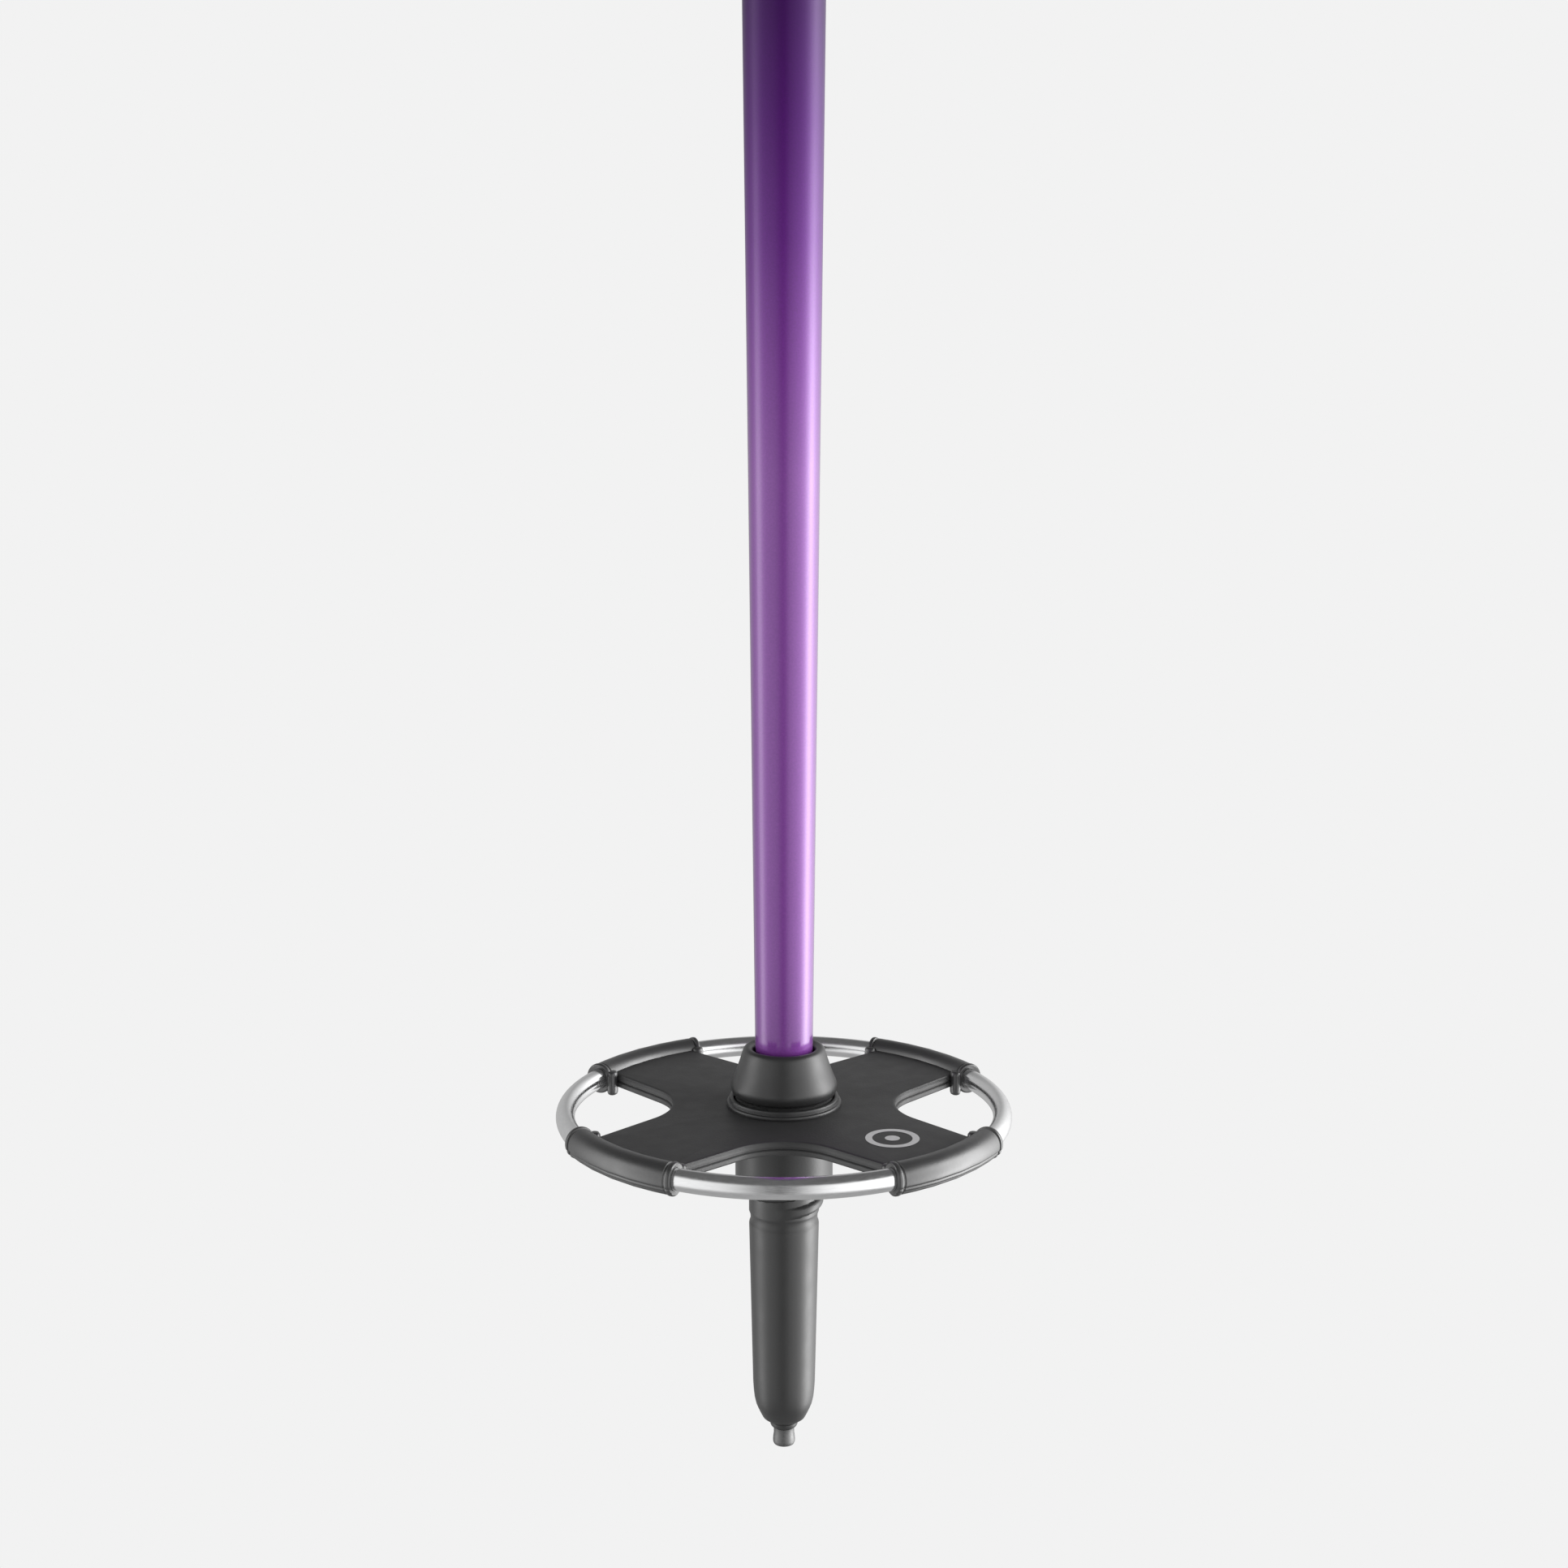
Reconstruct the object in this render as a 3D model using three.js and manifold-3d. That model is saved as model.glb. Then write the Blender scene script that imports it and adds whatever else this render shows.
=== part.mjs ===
// A fixed-length alpine ski pole, upright, in millimetres with +Z up.
// The origin is the centre of the tip's flat end. The grip's finger side faces +X and its
// strap hangs on the -X side. The basket screws onto the tip ferrule with a right-hand thread.
import * as THREE from 'three';
import { mergeVertices } from 'three/addons/utils/BufferGeometryUtils.js';
import Module from 'manifold-3d';

const wasm = await Module();
wasm.setup();

// Gap kept between two pieces that touch on the real pole.
const GAP = 0.3;
// Facets round a turned piece.
const FACETS = 32;

// Tapered aluminium shaft.
const SHAFT_BOTTOM = 30;
const SHAFT_TOP = 1158;
const SHAFT_RADIUS = 9;
const SHAFT_WALL = 1.1;
const TAPER_END = 393;
const TAPER = 0.0098;

// Steel tip and moulded ferrule.
const TIP_RADIUS = 2.36;
const TIP_HEAD = 4;
const TIP_SHANK_RADIUS = 1.5;
const TIP_SHANK_TOP = 24;
const CORE_RADIUS = 7.4;
const COLLAR_BOTTOM = 78.5;
const COLLAR_TOP = 88.6;

// Round-profile screw thread between ferrule and basket.
const THREAD_PITCH = 4;
const THREAD_PATH_RADIUS = 7.2;
const THREAD_SECTION = 1.15;
const THREAD_START_ANGLE = (250 / 180) * Math.PI;
const THREAD_START_Z = 54.3;
const THREAD_TURNS = 3.6;
const STEPS_PER_TURN = 18;

// Basket: a wire ring held by four sleeves of a four-armed plate.
const RING_Z = 75;
const RING_RADIUS = 45.55;
const RING_HALF_WIDTH = 1.95;
const RING_HALF_HEIGHT = 2.2;
const RING_FACETS = 64;
const SLEEVE_WALL = 0.75;
const SLEEVE_HALF_ANGLE = (18.6 / 180) * Math.PI;
const ARM_COUNT = 4;
const PLATE_BOTTOM = 73.2;
const PLATE_TOP = 76.2;
const OPENING_INNER = 23.4;
const OPENING_FILLET = 13.3;
const OPENING_SIDE_ANGLE = (48 / 180) * Math.PI;
const SKIRT_RADIUS = 10.25;
const SKIRT_BOTTOM = 59;
const HUB_BEAD_RADIUS = 12;
const HUB_RIM_RADIUS = 11.45;
const HUB_TOP = 78.1;
const HUB_BORE = CORE_RADIUS + 0.35;
const SEAL_INNER = 8.2;
const SEAL_OUTER = 10.2;
const SEAL_SEAT = 76.6;

// Grip: hard core, rubber sleeve and a hard cap over the head.
const GRIP_BOTTOM = 1050;
const HEAD_BOTTOM = 1160;
const CORE_TUBE_RADIUS = 11;
const HEAD_TOP = 1194;
const HEAD_HALF = { x: 15.5, y: 12.6, corner: 6.5 };
const CAP_TOP = 1200;
const CAP_HALF = { x: 21, y: 17 };
const CAP_ROUNDING = 3;
const WELL = { back: -10, front: 9, halfWidth: 10.4, bottom: 1165 };
const SLOT_Z = 1182;
const SLOT_HALF_HEIGHT = 5;

// Outlines of the rubber sleeve as [height, distance from the shaft's axis].
const GRIP_FRONT = [
  [1050, 20], [1055, 19.4], [1070, 14.8], [1082, 17], [1094, 14.8], [1106, 17],
  [1118, 14.8], [1130, 17], [1143, 15.2], [1160, 21],
];
const GRIP_BACK = [[1050, 17.6], [1055, 17.2], [1066, 14.6], [1108, 16.4], [1146, 14.4], [1160, 21]];
const GRIP_SIDE = [[1050, 17], [1055, 16.6], [1066, 13.4], [1108, 14.6], [1146, 13.2], [1160, 17]];

// Wrist strap: one length of webbing, anchored on a cross pin in the head.
const WEB_WIDTH = 20;
const WEB_THICKNESS = 1.6;
const STRANDS = 3;
const STACK_HALF = (STRANDS * WEB_THICKNESS) / 2;
const PIVOT_X = -25.5;
const KNUCKLE_RADIUS = 2.6;
const STACK_BOTTOM = 1128;
const PIN = { x: -6.2, z: 1170, radius: 1.5, halfLength: 12.2 };
const PAD_WIDTH = 32;
const PAD_THICKNESS = 4;
const KEEPER = { bottom: 1146, height: 10, wall: 1.1 };
const END_TAB = { length: 14, width: 21, thickness: 3.2 };

// Route of the webbing loop below the stacked strands, as [x, z], from the inner strand
// round the bottom and up the outer strand.
const LOOP_ROUTE = [
  [-23.9, 1134], [-23.9, 1090], [-23.9, 1045], [-24.8, 1008], [-29.5, 978], [-42, 961],
  [-57, 963], [-69.5, 984], [-72, 1014], [-62.5, 1045], [-46, 1075], [-31, 1105], [-25.6, 1134],
];
// Stretch of the loop that carries the wrist pad, as shares of its length.
const PAD_FROM = 0.28;
const PAD_TO = 0.82;
const TAIL_ROUTE = [[-27.1, 1136], [-27.9, 1126], [-33.5, 1112], [-43, 1099.5]];

const MATERIALS = {
  purple: { color: 0x7b4795, roughness: 0.25, metalness: 0.6 },
  steel: { color: 0xc9cccd, roughness: 0.25, metalness: 1 },
  carbide: { color: 0x8a8c8d, roughness: 0.4, metalness: 1 },
  plastic: { color: 0x444546, roughness: 0.35, metalness: 0 },
  matte: { color: 0x4c4c4c, roughness: 0.7, metalness: 0 },
  rubber: { color: 0x232324, roughness: 0.85, metalness: 0 },
  webbing: { color: 0x2b2b2e, roughness: 0.9, metalness: 0 },
};

// ---- solids and booleans ----

function toSolid(geometry) {
  const source = geometry.index ? geometry : mergeVertices(geometry);
  source.deleteAttribute('normal');
  source.deleteAttribute('uv');
  const merged = mergeVertices(source, 1e-4);
  const index = merged.index.array;
  const triangles = [];
  for (let i = 0; i < index.length; i += 3) {
    const [a, b, c] = [index[i], index[i + 1], index[i + 2]];
    if (a !== b && b !== c && c !== a) triangles.push(a, b, c);
  }
  const vertProperties = new Float32Array(merged.attributes.position.array);
  const triVerts = new Uint32Array(triangles);
  return new wasm.Manifold(new wasm.Mesh({ numProp: 3, vertProperties, triVerts }));
}

function toMesh(name, solid, material) {
  const { vertProperties, triVerts } = solid.getMesh();
  const geometry = new THREE.BufferGeometry();
  geometry.setAttribute('position', new THREE.BufferAttribute(new Float32Array(vertProperties), 3));
  geometry.setIndex(new THREE.BufferAttribute(new Uint32Array(triVerts), 1));
  geometry.computeVertexNormals();
  const mesh = new THREE.Mesh(geometry, new THREE.MeshStandardMaterial(MATERIALS[material]));
  mesh.name = name;
  return mesh;
}

function joined(solids) {
  return solids.reduce((sum, solid) => sum.add(solid));
}

// Turned solid from [radius, z] points that run up the outside and close on themselves.
function turned(points, facets = FACETS) {
  const closed = [...points, points[0]].map(([r, z]) => new THREE.Vector2(r, z));
  const geometry = new THREE.LatheGeometry(closed, facets);
  geometry.rotateX(Math.PI / 2);
  return toSolid(geometry);
}

function cylinder(radius, bottom, top, facets = FACETS) {
  return turned([[0, bottom], [radius, bottom], [radius, top], [0, top]], facets);
}

function box(low, high) {
  const size = high.map((value, i) => value - low[i]);
  const middle = high.map((value, i) => (value + low[i]) / 2);
  const geometry = new THREE.BoxGeometry(...size);
  geometry.translate(...middle);
  return toSolid(geometry);
}

function crossPin(x, z, radius, halfLength, facets = 16) {
  const geometry = new THREE.CylinderGeometry(radius, radius, 2 * halfLength, facets);
  geometry.translate(x, 0, z);
  return toSolid(geometry);
}

function extrudedUp(shape, bottom, top, curveSegments = 6) {
  const geometry = new THREE.ExtrudeGeometry(shape, {
    depth: top - bottom, bevelEnabled: false, curveSegments,
  });
  geometry.translate(0, 0, bottom);
  return toSolid(geometry);
}

// Solid of a side outline, given as [x, z] points, that is as wide as stated along Y.
function sideExtruded(points, halfWidth) {
  const shape = new THREE.Shape(points.map(([x, z]) => new THREE.Vector2(x, z)));
  const geometry = new THREE.ExtrudeGeometry(shape, { depth: 2 * halfWidth, bevelEnabled: false });
  geometry.rotateX(Math.PI / 2);
  geometry.translate(0, halfWidth, 0);
  return toSolid(geometry);
}

function routeCurve(points) {
  const route = points.map(([x, z]) => new THREE.Vector3(x, 0, z));
  return new THREE.CatmullRomCurve3(route, false, 'centripetal');
}

// Flat band whose width lies along Y and whose middle follows a curve in the XZ plane.
function band(curve, width, thickness, steps) {
  const section = new THREE.Shape([
    new THREE.Vector2(-width / 2, -thickness / 2),
    new THREE.Vector2(width / 2, -thickness / 2),
    new THREE.Vector2(width / 2, thickness / 2),
    new THREE.Vector2(-width / 2, thickness / 2),
  ]);
  const options = { steps, bevelEnabled: false, extrudePath: curve };
  return toSolid(new THREE.ExtrudeGeometry(section, options));
}

function roundedRectangle(halfX, halfY, corner) {
  const shape = new THREE.Shape();
  shape.moveTo(halfX, -halfY + corner);
  shape.lineTo(halfX, halfY - corner);
  shape.absarc(halfX - corner, halfY - corner, corner, 0, Math.PI / 2);
  shape.lineTo(-halfX + corner, halfY);
  shape.absarc(-halfX + corner, halfY - corner, corner, Math.PI / 2, Math.PI);
  shape.lineTo(-halfX, -halfY + corner);
  shape.absarc(-halfX + corner, -halfY + corner, corner, Math.PI, 1.5 * Math.PI);
  shape.lineTo(halfX - corner, -halfY);
  shape.absarc(halfX - corner, -halfY + corner, corner, 1.5 * Math.PI, 2 * Math.PI);
  return shape;
}

// Distance at a height on an outline whose stations are its highest and lowest places.
function outlineAt(stations, z) {
  const next = Math.max(1, stations.findIndex(([height]) => height >= z));
  const [z0, r0] = stations[next - 1];
  const [z1, r1] = stations[next];
  const share = THREE.MathUtils.clamp((z - z0) / (z1 - z0), 0, 1);
  return r0 + ((r1 - r0) * (1 - Math.cos(Math.PI * share))) / 2;
}

// ---- shaft, tip and ferrule ----

function shaftRadius(z) {
  return SHAFT_RADIUS - TAPER * Math.max(0, TAPER_END - z);
}

function shaft() {
  const outer = (z, less) => [shaftRadius(z) - less, z];
  return turned([
    outer(SHAFT_BOTTOM, 0), outer(TAPER_END, 0), outer(SHAFT_TOP, 0),
    outer(SHAFT_TOP, SHAFT_WALL), outer(TAPER_END, SHAFT_WALL), outer(SHAFT_BOTTOM, SHAFT_WALL),
  ]);
}

function carbideTip() {
  return turned([
    [0, 0], [TIP_RADIUS - 0.3, 0], [TIP_RADIUS, 0.5], [TIP_RADIUS, 1.6], [2.2, 2.4], [2.27, TIP_HEAD],
    [TIP_SHANK_RADIUS, TIP_HEAD], [TIP_SHANK_RADIUS, TIP_SHANK_TOP], [0, TIP_SHANK_TOP],
  ], 24);
}

class ThreadCurve extends THREE.Curve {
  constructor(startTurn, turns) {
    super();
    this.startTurn = startTurn;
    this.turns = turns;
  }

  getPoint(t) {
    const turn = this.startTurn + t * this.turns;
    const angle = THREAD_START_ANGLE + 2 * Math.PI * turn;
    const z = THREAD_START_Z + THREAD_PITCH * turn;
    return new THREE.Vector3(
      THREAD_PATH_RADIUS * Math.cos(angle), THREAD_PATH_RADIUS * Math.sin(angle), z,
    );
  }
}

// Helical cord of round section, from one turn count to another along the thread.
function threadCord(radius, startTurn, turns) {
  const section = new THREE.Shape();
  section.absarc(0, 0, radius, 0, 2 * Math.PI);
  return toSolid(new THREE.ExtrudeGeometry(section, {
    steps: Math.round(turns * STEPS_PER_TURN),
    curveSegments: 4,
    bevelEnabled: false,
    extrudePath: new ThreadCurve(startTurn, turns),
  }));
}

function tipFerrule() {
  const socketBottom = SHAFT_BOTTOM - GAP;
  const shankHole = TIP_SHANK_RADIUS + GAP;
  const body = turned([
    [0, TIP_HEAD + GAP], [2.8, TIP_HEAD + GAP], [3.32, 5.4], [4.54, 6.5], [5.67, 8.8], [6.37, 11],
    [6.62, 14.4], [7.39, 50.4], [7.15, 50.9], [7.15, 52.2], [CORE_RADIUS, 52.8],
    [CORE_RADIUS, COLLAR_BOTTOM], [10.3, COLLAR_BOTTOM], [10.9, COLLAR_BOTTOM + 0.6],
    [11.12, COLLAR_BOTTOM + 1.4], [11.05, COLLAR_BOTTOM + 2.1], [10.35, 82.4], [9.32, 85],
    [8.55, 87.6], [8.1, COLLAR_TOP - 0.2], [7.5, COLLAR_TOP], [0, COLLAR_TOP],
  ]);
  const socket = turned([
    [0, socketBottom], [shaftRadius(socketBottom) + GAP, socketBottom],
    [shaftRadius(COLLAR_TOP) + GAP, COLLAR_TOP + 1], [0, COLLAR_TOP + 1],
  ]);
  const shank = cylinder(shankHole, TIP_HEAD, TIP_SHANK_TOP + GAP, 24);
  return body.add(threadCord(THREAD_SECTION, 0, THREAD_TURNS)).subtract(socket).subtract(shank);
}

// ---- basket ----

// Closed wire-shaped ring, larger than the basket's wire by the stated amount.
function wireRing(extra) {
  const points = [];
  const sides = 8;
  for (let i = 0; i < sides; i += 1) {
    const angle = (2 * Math.PI * i) / sides;
    points.push([
      RING_RADIUS + (RING_HALF_WIDTH + extra) * Math.cos(angle),
      RING_Z + (RING_HALF_HEIGHT + extra) * Math.sin(angle),
    ]);
  }
  return turned(points, RING_FACETS);
}

// Sector of a tall disc about one arm's direction, which picks that arm's sleeve.
function sleeveSector(direction) {
  const reach = RING_RADIUS * 1.2;
  const corners = [-1, 0, 1].map((side) => {
    const angle = direction + side * SLEEVE_HALF_ANGLE;
    return new THREE.Vector2(reach * Math.cos(angle), reach * Math.sin(angle));
  });
  const shape = new THREE.Shape([new THREE.Vector2(0, 0), ...corners]);
  return extrudedUp(shape, RING_Z - 2 * RING_HALF_HEIGHT, RING_Z + 2 * RING_HALF_HEIGHT);
}

// Rounded V between two arms, cut right through the plate.
function plateOpening(direction) {
  const centre = OPENING_INNER + OPENING_FILLET;
  const tangent = {
    u: centre - OPENING_FILLET * Math.sin(OPENING_SIDE_ANGLE),
    v: OPENING_FILLET * Math.cos(OPENING_SIDE_ANGLE),
  };
  const reach = RING_RADIUS * 1.1;
  const spread = tangent.v + Math.tan(OPENING_SIDE_ANGLE) * (reach - tangent.u);
  const shape = new THREE.Shape();
  const halfArc = Math.PI / 2 - OPENING_SIDE_ANGLE;
  shape.moveTo(reach, -spread);
  shape.lineTo(reach, spread);
  shape.lineTo(tangent.u, tangent.v);
  shape.absarc(centre, 0, OPENING_FILLET, Math.PI - halfArc, Math.PI + halfArc);
  const geometry = new THREE.ExtrudeGeometry(shape, {
    depth: 3 * (PLATE_TOP - PLATE_BOTTOM), bevelEnabled: false, curveSegments: 8,
  });
  geometry.translate(0, 0, 2 * PLATE_BOTTOM - PLATE_TOP);
  geometry.rotateZ(direction);
  return toSolid(geometry);
}

function basketBody() {
  const armAngle = (2 * Math.PI) / ARM_COUNT;
  let plate = cylinder(RING_RADIUS, PLATE_BOTTOM, PLATE_TOP, RING_FACETS);
  const sleeves = [];
  for (let i = 0; i < ARM_COUNT; i += 1) {
    plate = plate.subtract(plateOpening(i * armAngle));
    sleeves.push(sleeveSector((i + 0.5) * armAngle));
  }
  const sleeve = wireRing(GAP + SLEEVE_WALL).intersect(joined(sleeves));
  const hub = turned([
    [0, SKIRT_BOTTOM], [SKIRT_RADIUS - 0.4, SKIRT_BOTTOM], [SKIRT_RADIUS, SKIRT_BOTTOM + 0.5],
    [SKIRT_RADIUS, PLATE_BOTTOM + 1], [HUB_BEAD_RADIUS - 0.3, PLATE_TOP - 0.5],
    [HUB_BEAD_RADIUS, PLATE_TOP], [HUB_BEAD_RADIUS, PLATE_TOP + 0.7],
    [HUB_RIM_RADIUS, PLATE_TOP + 1.1], [HUB_RIM_RADIUS, HUB_TOP - 0.3],
    [HUB_RIM_RADIUS - 0.4, HUB_TOP], [0, HUB_TOP],
  ]);
  const firstTurn = (SKIRT_BOTTOM - THREAD_START_Z) / THREAD_PITCH - 0.6;
  const turns = (HUB_TOP - SKIRT_BOTTOM) / THREAD_PITCH + 0.8;
  const groove = threadCord(THREAD_SECTION + 0.35, firstTurn, turns);
  return joined([plate, sleeve, hub])
    .subtract(wireRing(GAP))
    .subtract(cylinder(HUB_BORE, SKIRT_BOTTOM - 1, HUB_TOP + 1))
    .subtract(cylinder(SEAL_OUTER + GAP, SEAL_SEAT, HUB_TOP + 1))
    .subtract(groove);
}

function hubSeal() {
  const bottom = SEAL_SEAT + GAP;
  const top = COLLAR_BOTTOM - GAP;
  return turned([
    [SEAL_INNER, bottom], [SEAL_OUTER - 0.3, bottom], [SEAL_OUTER, (bottom + top) / 2],
    [SEAL_OUTER - 0.3, top], [SEAL_INNER, top],
  ]);
}

// ---- grip ----

function gripCore() {
  const head = extrudedUp(
    roundedRectangle(HEAD_HALF.x, HEAD_HALF.y, HEAD_HALF.corner), HEAD_BOTTOM + GAP, HEAD_TOP,
  );
  const tube = cylinder(CORE_TUBE_RADIUS, GRIP_BOTTOM + 4, HEAD_BOTTOM + 1);
  const bore = cylinder(SHAFT_RADIUS + GAP, GRIP_BOTTOM, SHAFT_TOP + GAP);
  return head.add(tube)
    .subtract(bore)
    .subtract(headWell())
    .subtract(strapSlot())
    .subtract(crossPin(PIN.x, PIN.z, PIN.radius + GAP, PIN.halfLength + GAP));
}

function headWell() {
  return box(
    [WELL.back, -WELL.halfWidth, WELL.bottom], [WELL.front, WELL.halfWidth, CAP_TOP + 1],
  );
}

function strapSlot() {
  return box(
    [-CAP_HALF.x - 1, -WELL.halfWidth, SLOT_Z - SLOT_HALF_HEIGHT],
    [WELL.back + 1, WELL.halfWidth, SLOT_Z + SLOT_HALF_HEIGHT],
  );
}

// Solid whose egg-shaped sections follow the front, back and side outlines of the grip.
function gripOuter() {
  const height = HEAD_BOTTOM - GRIP_BOTTOM;
  const geometry = new THREE.CylinderGeometry(1, 1, height, 24, 22);
  geometry.rotateX(Math.PI / 2);
  geometry.translate(0, 0, GRIP_BOTTOM + height / 2);
  const position = geometry.attributes.position;
  for (let i = 0; i < position.count; i += 1) {
    const z = position.getZ(i);
    const depth = outlineAt(position.getX(i) > 0 ? GRIP_FRONT : GRIP_BACK, z);
    position.setX(i, position.getX(i) * depth);
    position.setY(i, position.getY(i) * outlineAt(GRIP_SIDE, z));
  }
  return toSolid(geometry);
}

function gripSleeve() {
  return gripOuter()
    .subtract(cylinder(CORE_TUBE_RADIUS + GAP, GRIP_BOTTOM + 4 - GAP, HEAD_BOTTOM + 1))
    .subtract(cylinder(SHAFT_RADIUS + GAP, GRIP_BOTTOM - 1, GRIP_BOTTOM + 5));
}

function gripCap() {
  const outline = new THREE.Shape();
  const halfX = CAP_HALF.x - CAP_ROUNDING;
  const halfY = CAP_HALF.y - CAP_ROUNDING;
  outline.absellipse(0, 0, halfX, halfY, 0, 2 * Math.PI);
  const geometry = new THREE.ExtrudeGeometry(outline, {
    depth: CAP_TOP - HEAD_BOTTOM,
    bevelThickness: CAP_ROUNDING,
    bevelSize: CAP_ROUNDING,
    bevelSegments: 3,
    curveSegments: 16,
  });
  geometry.translate(0, 0, HEAD_BOTTOM - CAP_ROUNDING);
  const bottom = HEAD_BOTTOM + GAP;
  const reach = 2 * CAP_HALF.x;
  const below = box([-reach, -reach, bottom - reach], [reach, reach, bottom]);
  const cavity = roundedRectangle(HEAD_HALF.x + GAP, HEAD_HALF.y + GAP, HEAD_HALF.corner);
  return toSolid(geometry)
    .subtract(below)
    .subtract(extrudedUp(cavity, bottom - 1, HEAD_TOP + GAP))
    .subtract(headWell())
    .subtract(strapSlot());
}

// ---- strap lock ----

function strapWedge() {
  const top = CAP_TOP - 0.8;
  const shoulder = HEAD_TOP + 0.6;
  const front = WELL.front - GAP;
  return sideExtruded([
    [WELL.back + GAP, shoulder], [-3, shoulder], [0.5, WELL.bottom + 1], [front, WELL.bottom + 1],
    [front, top], [WELL.back + GAP, top],
  ], WELL.halfWidth - GAP);
}

function strapPin() {
  return crossPin(PIN.x, PIN.z, PIN.radius, PIN.halfLength);
}

// Webbing inside the head: three strands from the slot, turned down round the cross pin.
function strapAnchor() {
  const halfWidth = WEB_WIDTH / 2;
  const eye = PIN.radius + GAP + WEB_THICKNESS;
  const outerEnd = PIVOT_X + KNUCKLE_RADIUS + GAP;
  const strands = box(
    [outerEnd, -halfWidth, SLOT_Z - STACK_HALF], [PIN.x + 2, halfWidth, SLOT_Z + STACK_HALF],
  );
  const fall = box([PIN.x - 3, -halfWidth, PIN.z], [PIN.x + 2, halfWidth, SLOT_Z]);
  return joined([strands, fall, crossPin(PIN.x, PIN.z, eye, halfWidth)])
    .subtract(crossPin(PIN.x, PIN.z, PIN.radius + GAP, WEB_WIDTH));
}

// ---- wrist strap ----

function strapWebbing() {
  const halfWidth = WEB_WIDTH / 2;
  const stack = box(
    [PIVOT_X - STACK_HALF, -halfWidth, STACK_BOTTOM], [PIVOT_X + STACK_HALF, halfWidth, SLOT_Z],
  );
  return joined([
    stack,
    crossPin(PIVOT_X, SLOT_Z, KNUCKLE_RADIUS, halfWidth),
    band(routeCurve(LOOP_ROUTE), WEB_WIDTH, WEB_THICKNESS, 80),
    band(routeCurve(TAIL_ROUTE), WEB_WIDTH, WEB_THICKNESS, 10),
  ]);
}

// Wrist pad on the inside of the loop.
function strapPad() {
  const loop = routeCurve(LOOP_ROUTE);
  const inset = WEB_THICKNESS / 2 + GAP + PAD_THICKNESS / 2;
  const steps = 40;
  const points = [];
  for (let i = 0; i <= steps; i += 1) {
    const share = PAD_FROM + ((PAD_TO - PAD_FROM) * i) / steps;
    const point = loop.getPointAt(share);
    const along = loop.getTangentAt(share);
    points.push([point.x + inset * along.z, point.z - inset * along.x]);
  }
  return band(routeCurve(points), PAD_WIDTH, PAD_THICKNESS, steps);
}

function strapKeeper() {
  const bottom = KEEPER.bottom;
  const top = bottom + KEEPER.height;
  const innerX = STACK_HALF + GAP;
  const innerY = WEB_WIDTH / 2 + GAP;
  const outer = roundedRectangle(innerX + KEEPER.wall, innerY + KEEPER.wall, 2);
  const inner = roundedRectangle(innerX, innerY, 0.5);
  const loop = extrudedUp(outer, bottom, top, 4).subtract(extrudedUp(inner, bottom - 1, top + 1, 2));
  return loop.translate([PIVOT_X, 0, 0]);
}

// Moulded tab that follows the end of the webbing's tail.
function strapEndTab() {
  const tail = routeCurve(TAIL_ROUTE);
  const end = tail.getPointAt(1);
  const along = tail.getTangentAt(1);
  const geometry = new THREE.BoxGeometry(END_TAB.thickness, END_TAB.width, END_TAB.length);
  geometry.rotateY(Math.atan2(along.x, along.z));
  const offset = END_TAB.length / 2 + GAP;
  geometry.translate(end.x + offset * along.x, 0, end.z + offset * along.z);
  return toSolid(geometry);
}

// ---- the pole ----

const pole = new THREE.Group();
pole.add(
  toMesh('carbide_tip', carbideTip(), 'carbide'),
  toMesh('tip_ferrule', tipFerrule(), 'plastic'),
  toMesh('shaft', shaft(), 'purple'),
  toMesh('hub_seal', hubSeal(), 'rubber'),
  toMesh('basket_body', basketBody(), 'matte'),
  toMesh('basket_ring', wireRing(0), 'steel'),
  toMesh('grip_core', gripCore(), 'matte'),
  toMesh('grip_sleeve', gripSleeve(), 'rubber'),
  toMesh('grip_cap', gripCap(), 'plastic'),
  toMesh('strap_wedge', strapWedge(), 'plastic'),
  toMesh('strap_pin', strapPin(), 'steel'),
  toMesh('strap_anchor', strapAnchor(), 'webbing'),
  toMesh('strap_webbing', strapWebbing(), 'webbing'),
  toMesh('strap_pad', strapPad(), 'webbing'),
  toMesh('strap_keeper', strapKeeper(), 'rubber'),
  toMesh('strap_end_tab', strapEndTab(), 'plastic'),
);

export default pole;
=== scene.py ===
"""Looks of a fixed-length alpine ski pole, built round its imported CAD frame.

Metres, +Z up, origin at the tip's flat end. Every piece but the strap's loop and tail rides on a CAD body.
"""

import math

import bpy
import numpy as np
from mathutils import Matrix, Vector


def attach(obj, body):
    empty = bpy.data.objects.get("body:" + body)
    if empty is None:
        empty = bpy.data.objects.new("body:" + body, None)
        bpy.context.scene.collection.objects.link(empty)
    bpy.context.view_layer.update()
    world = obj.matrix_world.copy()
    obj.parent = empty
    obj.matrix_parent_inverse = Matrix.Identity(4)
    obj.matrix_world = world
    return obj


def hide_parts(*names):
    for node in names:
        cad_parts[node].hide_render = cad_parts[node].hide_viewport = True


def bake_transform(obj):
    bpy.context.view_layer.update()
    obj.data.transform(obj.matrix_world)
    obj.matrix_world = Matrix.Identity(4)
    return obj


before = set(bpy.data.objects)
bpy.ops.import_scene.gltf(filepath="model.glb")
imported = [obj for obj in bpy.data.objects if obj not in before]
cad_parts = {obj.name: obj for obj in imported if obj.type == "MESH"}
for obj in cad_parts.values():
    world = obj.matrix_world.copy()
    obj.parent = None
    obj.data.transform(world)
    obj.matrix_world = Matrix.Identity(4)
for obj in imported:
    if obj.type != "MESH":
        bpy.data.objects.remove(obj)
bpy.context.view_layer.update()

MM = 0.001
BACKDROP = (0.888, 0.888, 0.888, 1)

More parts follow.
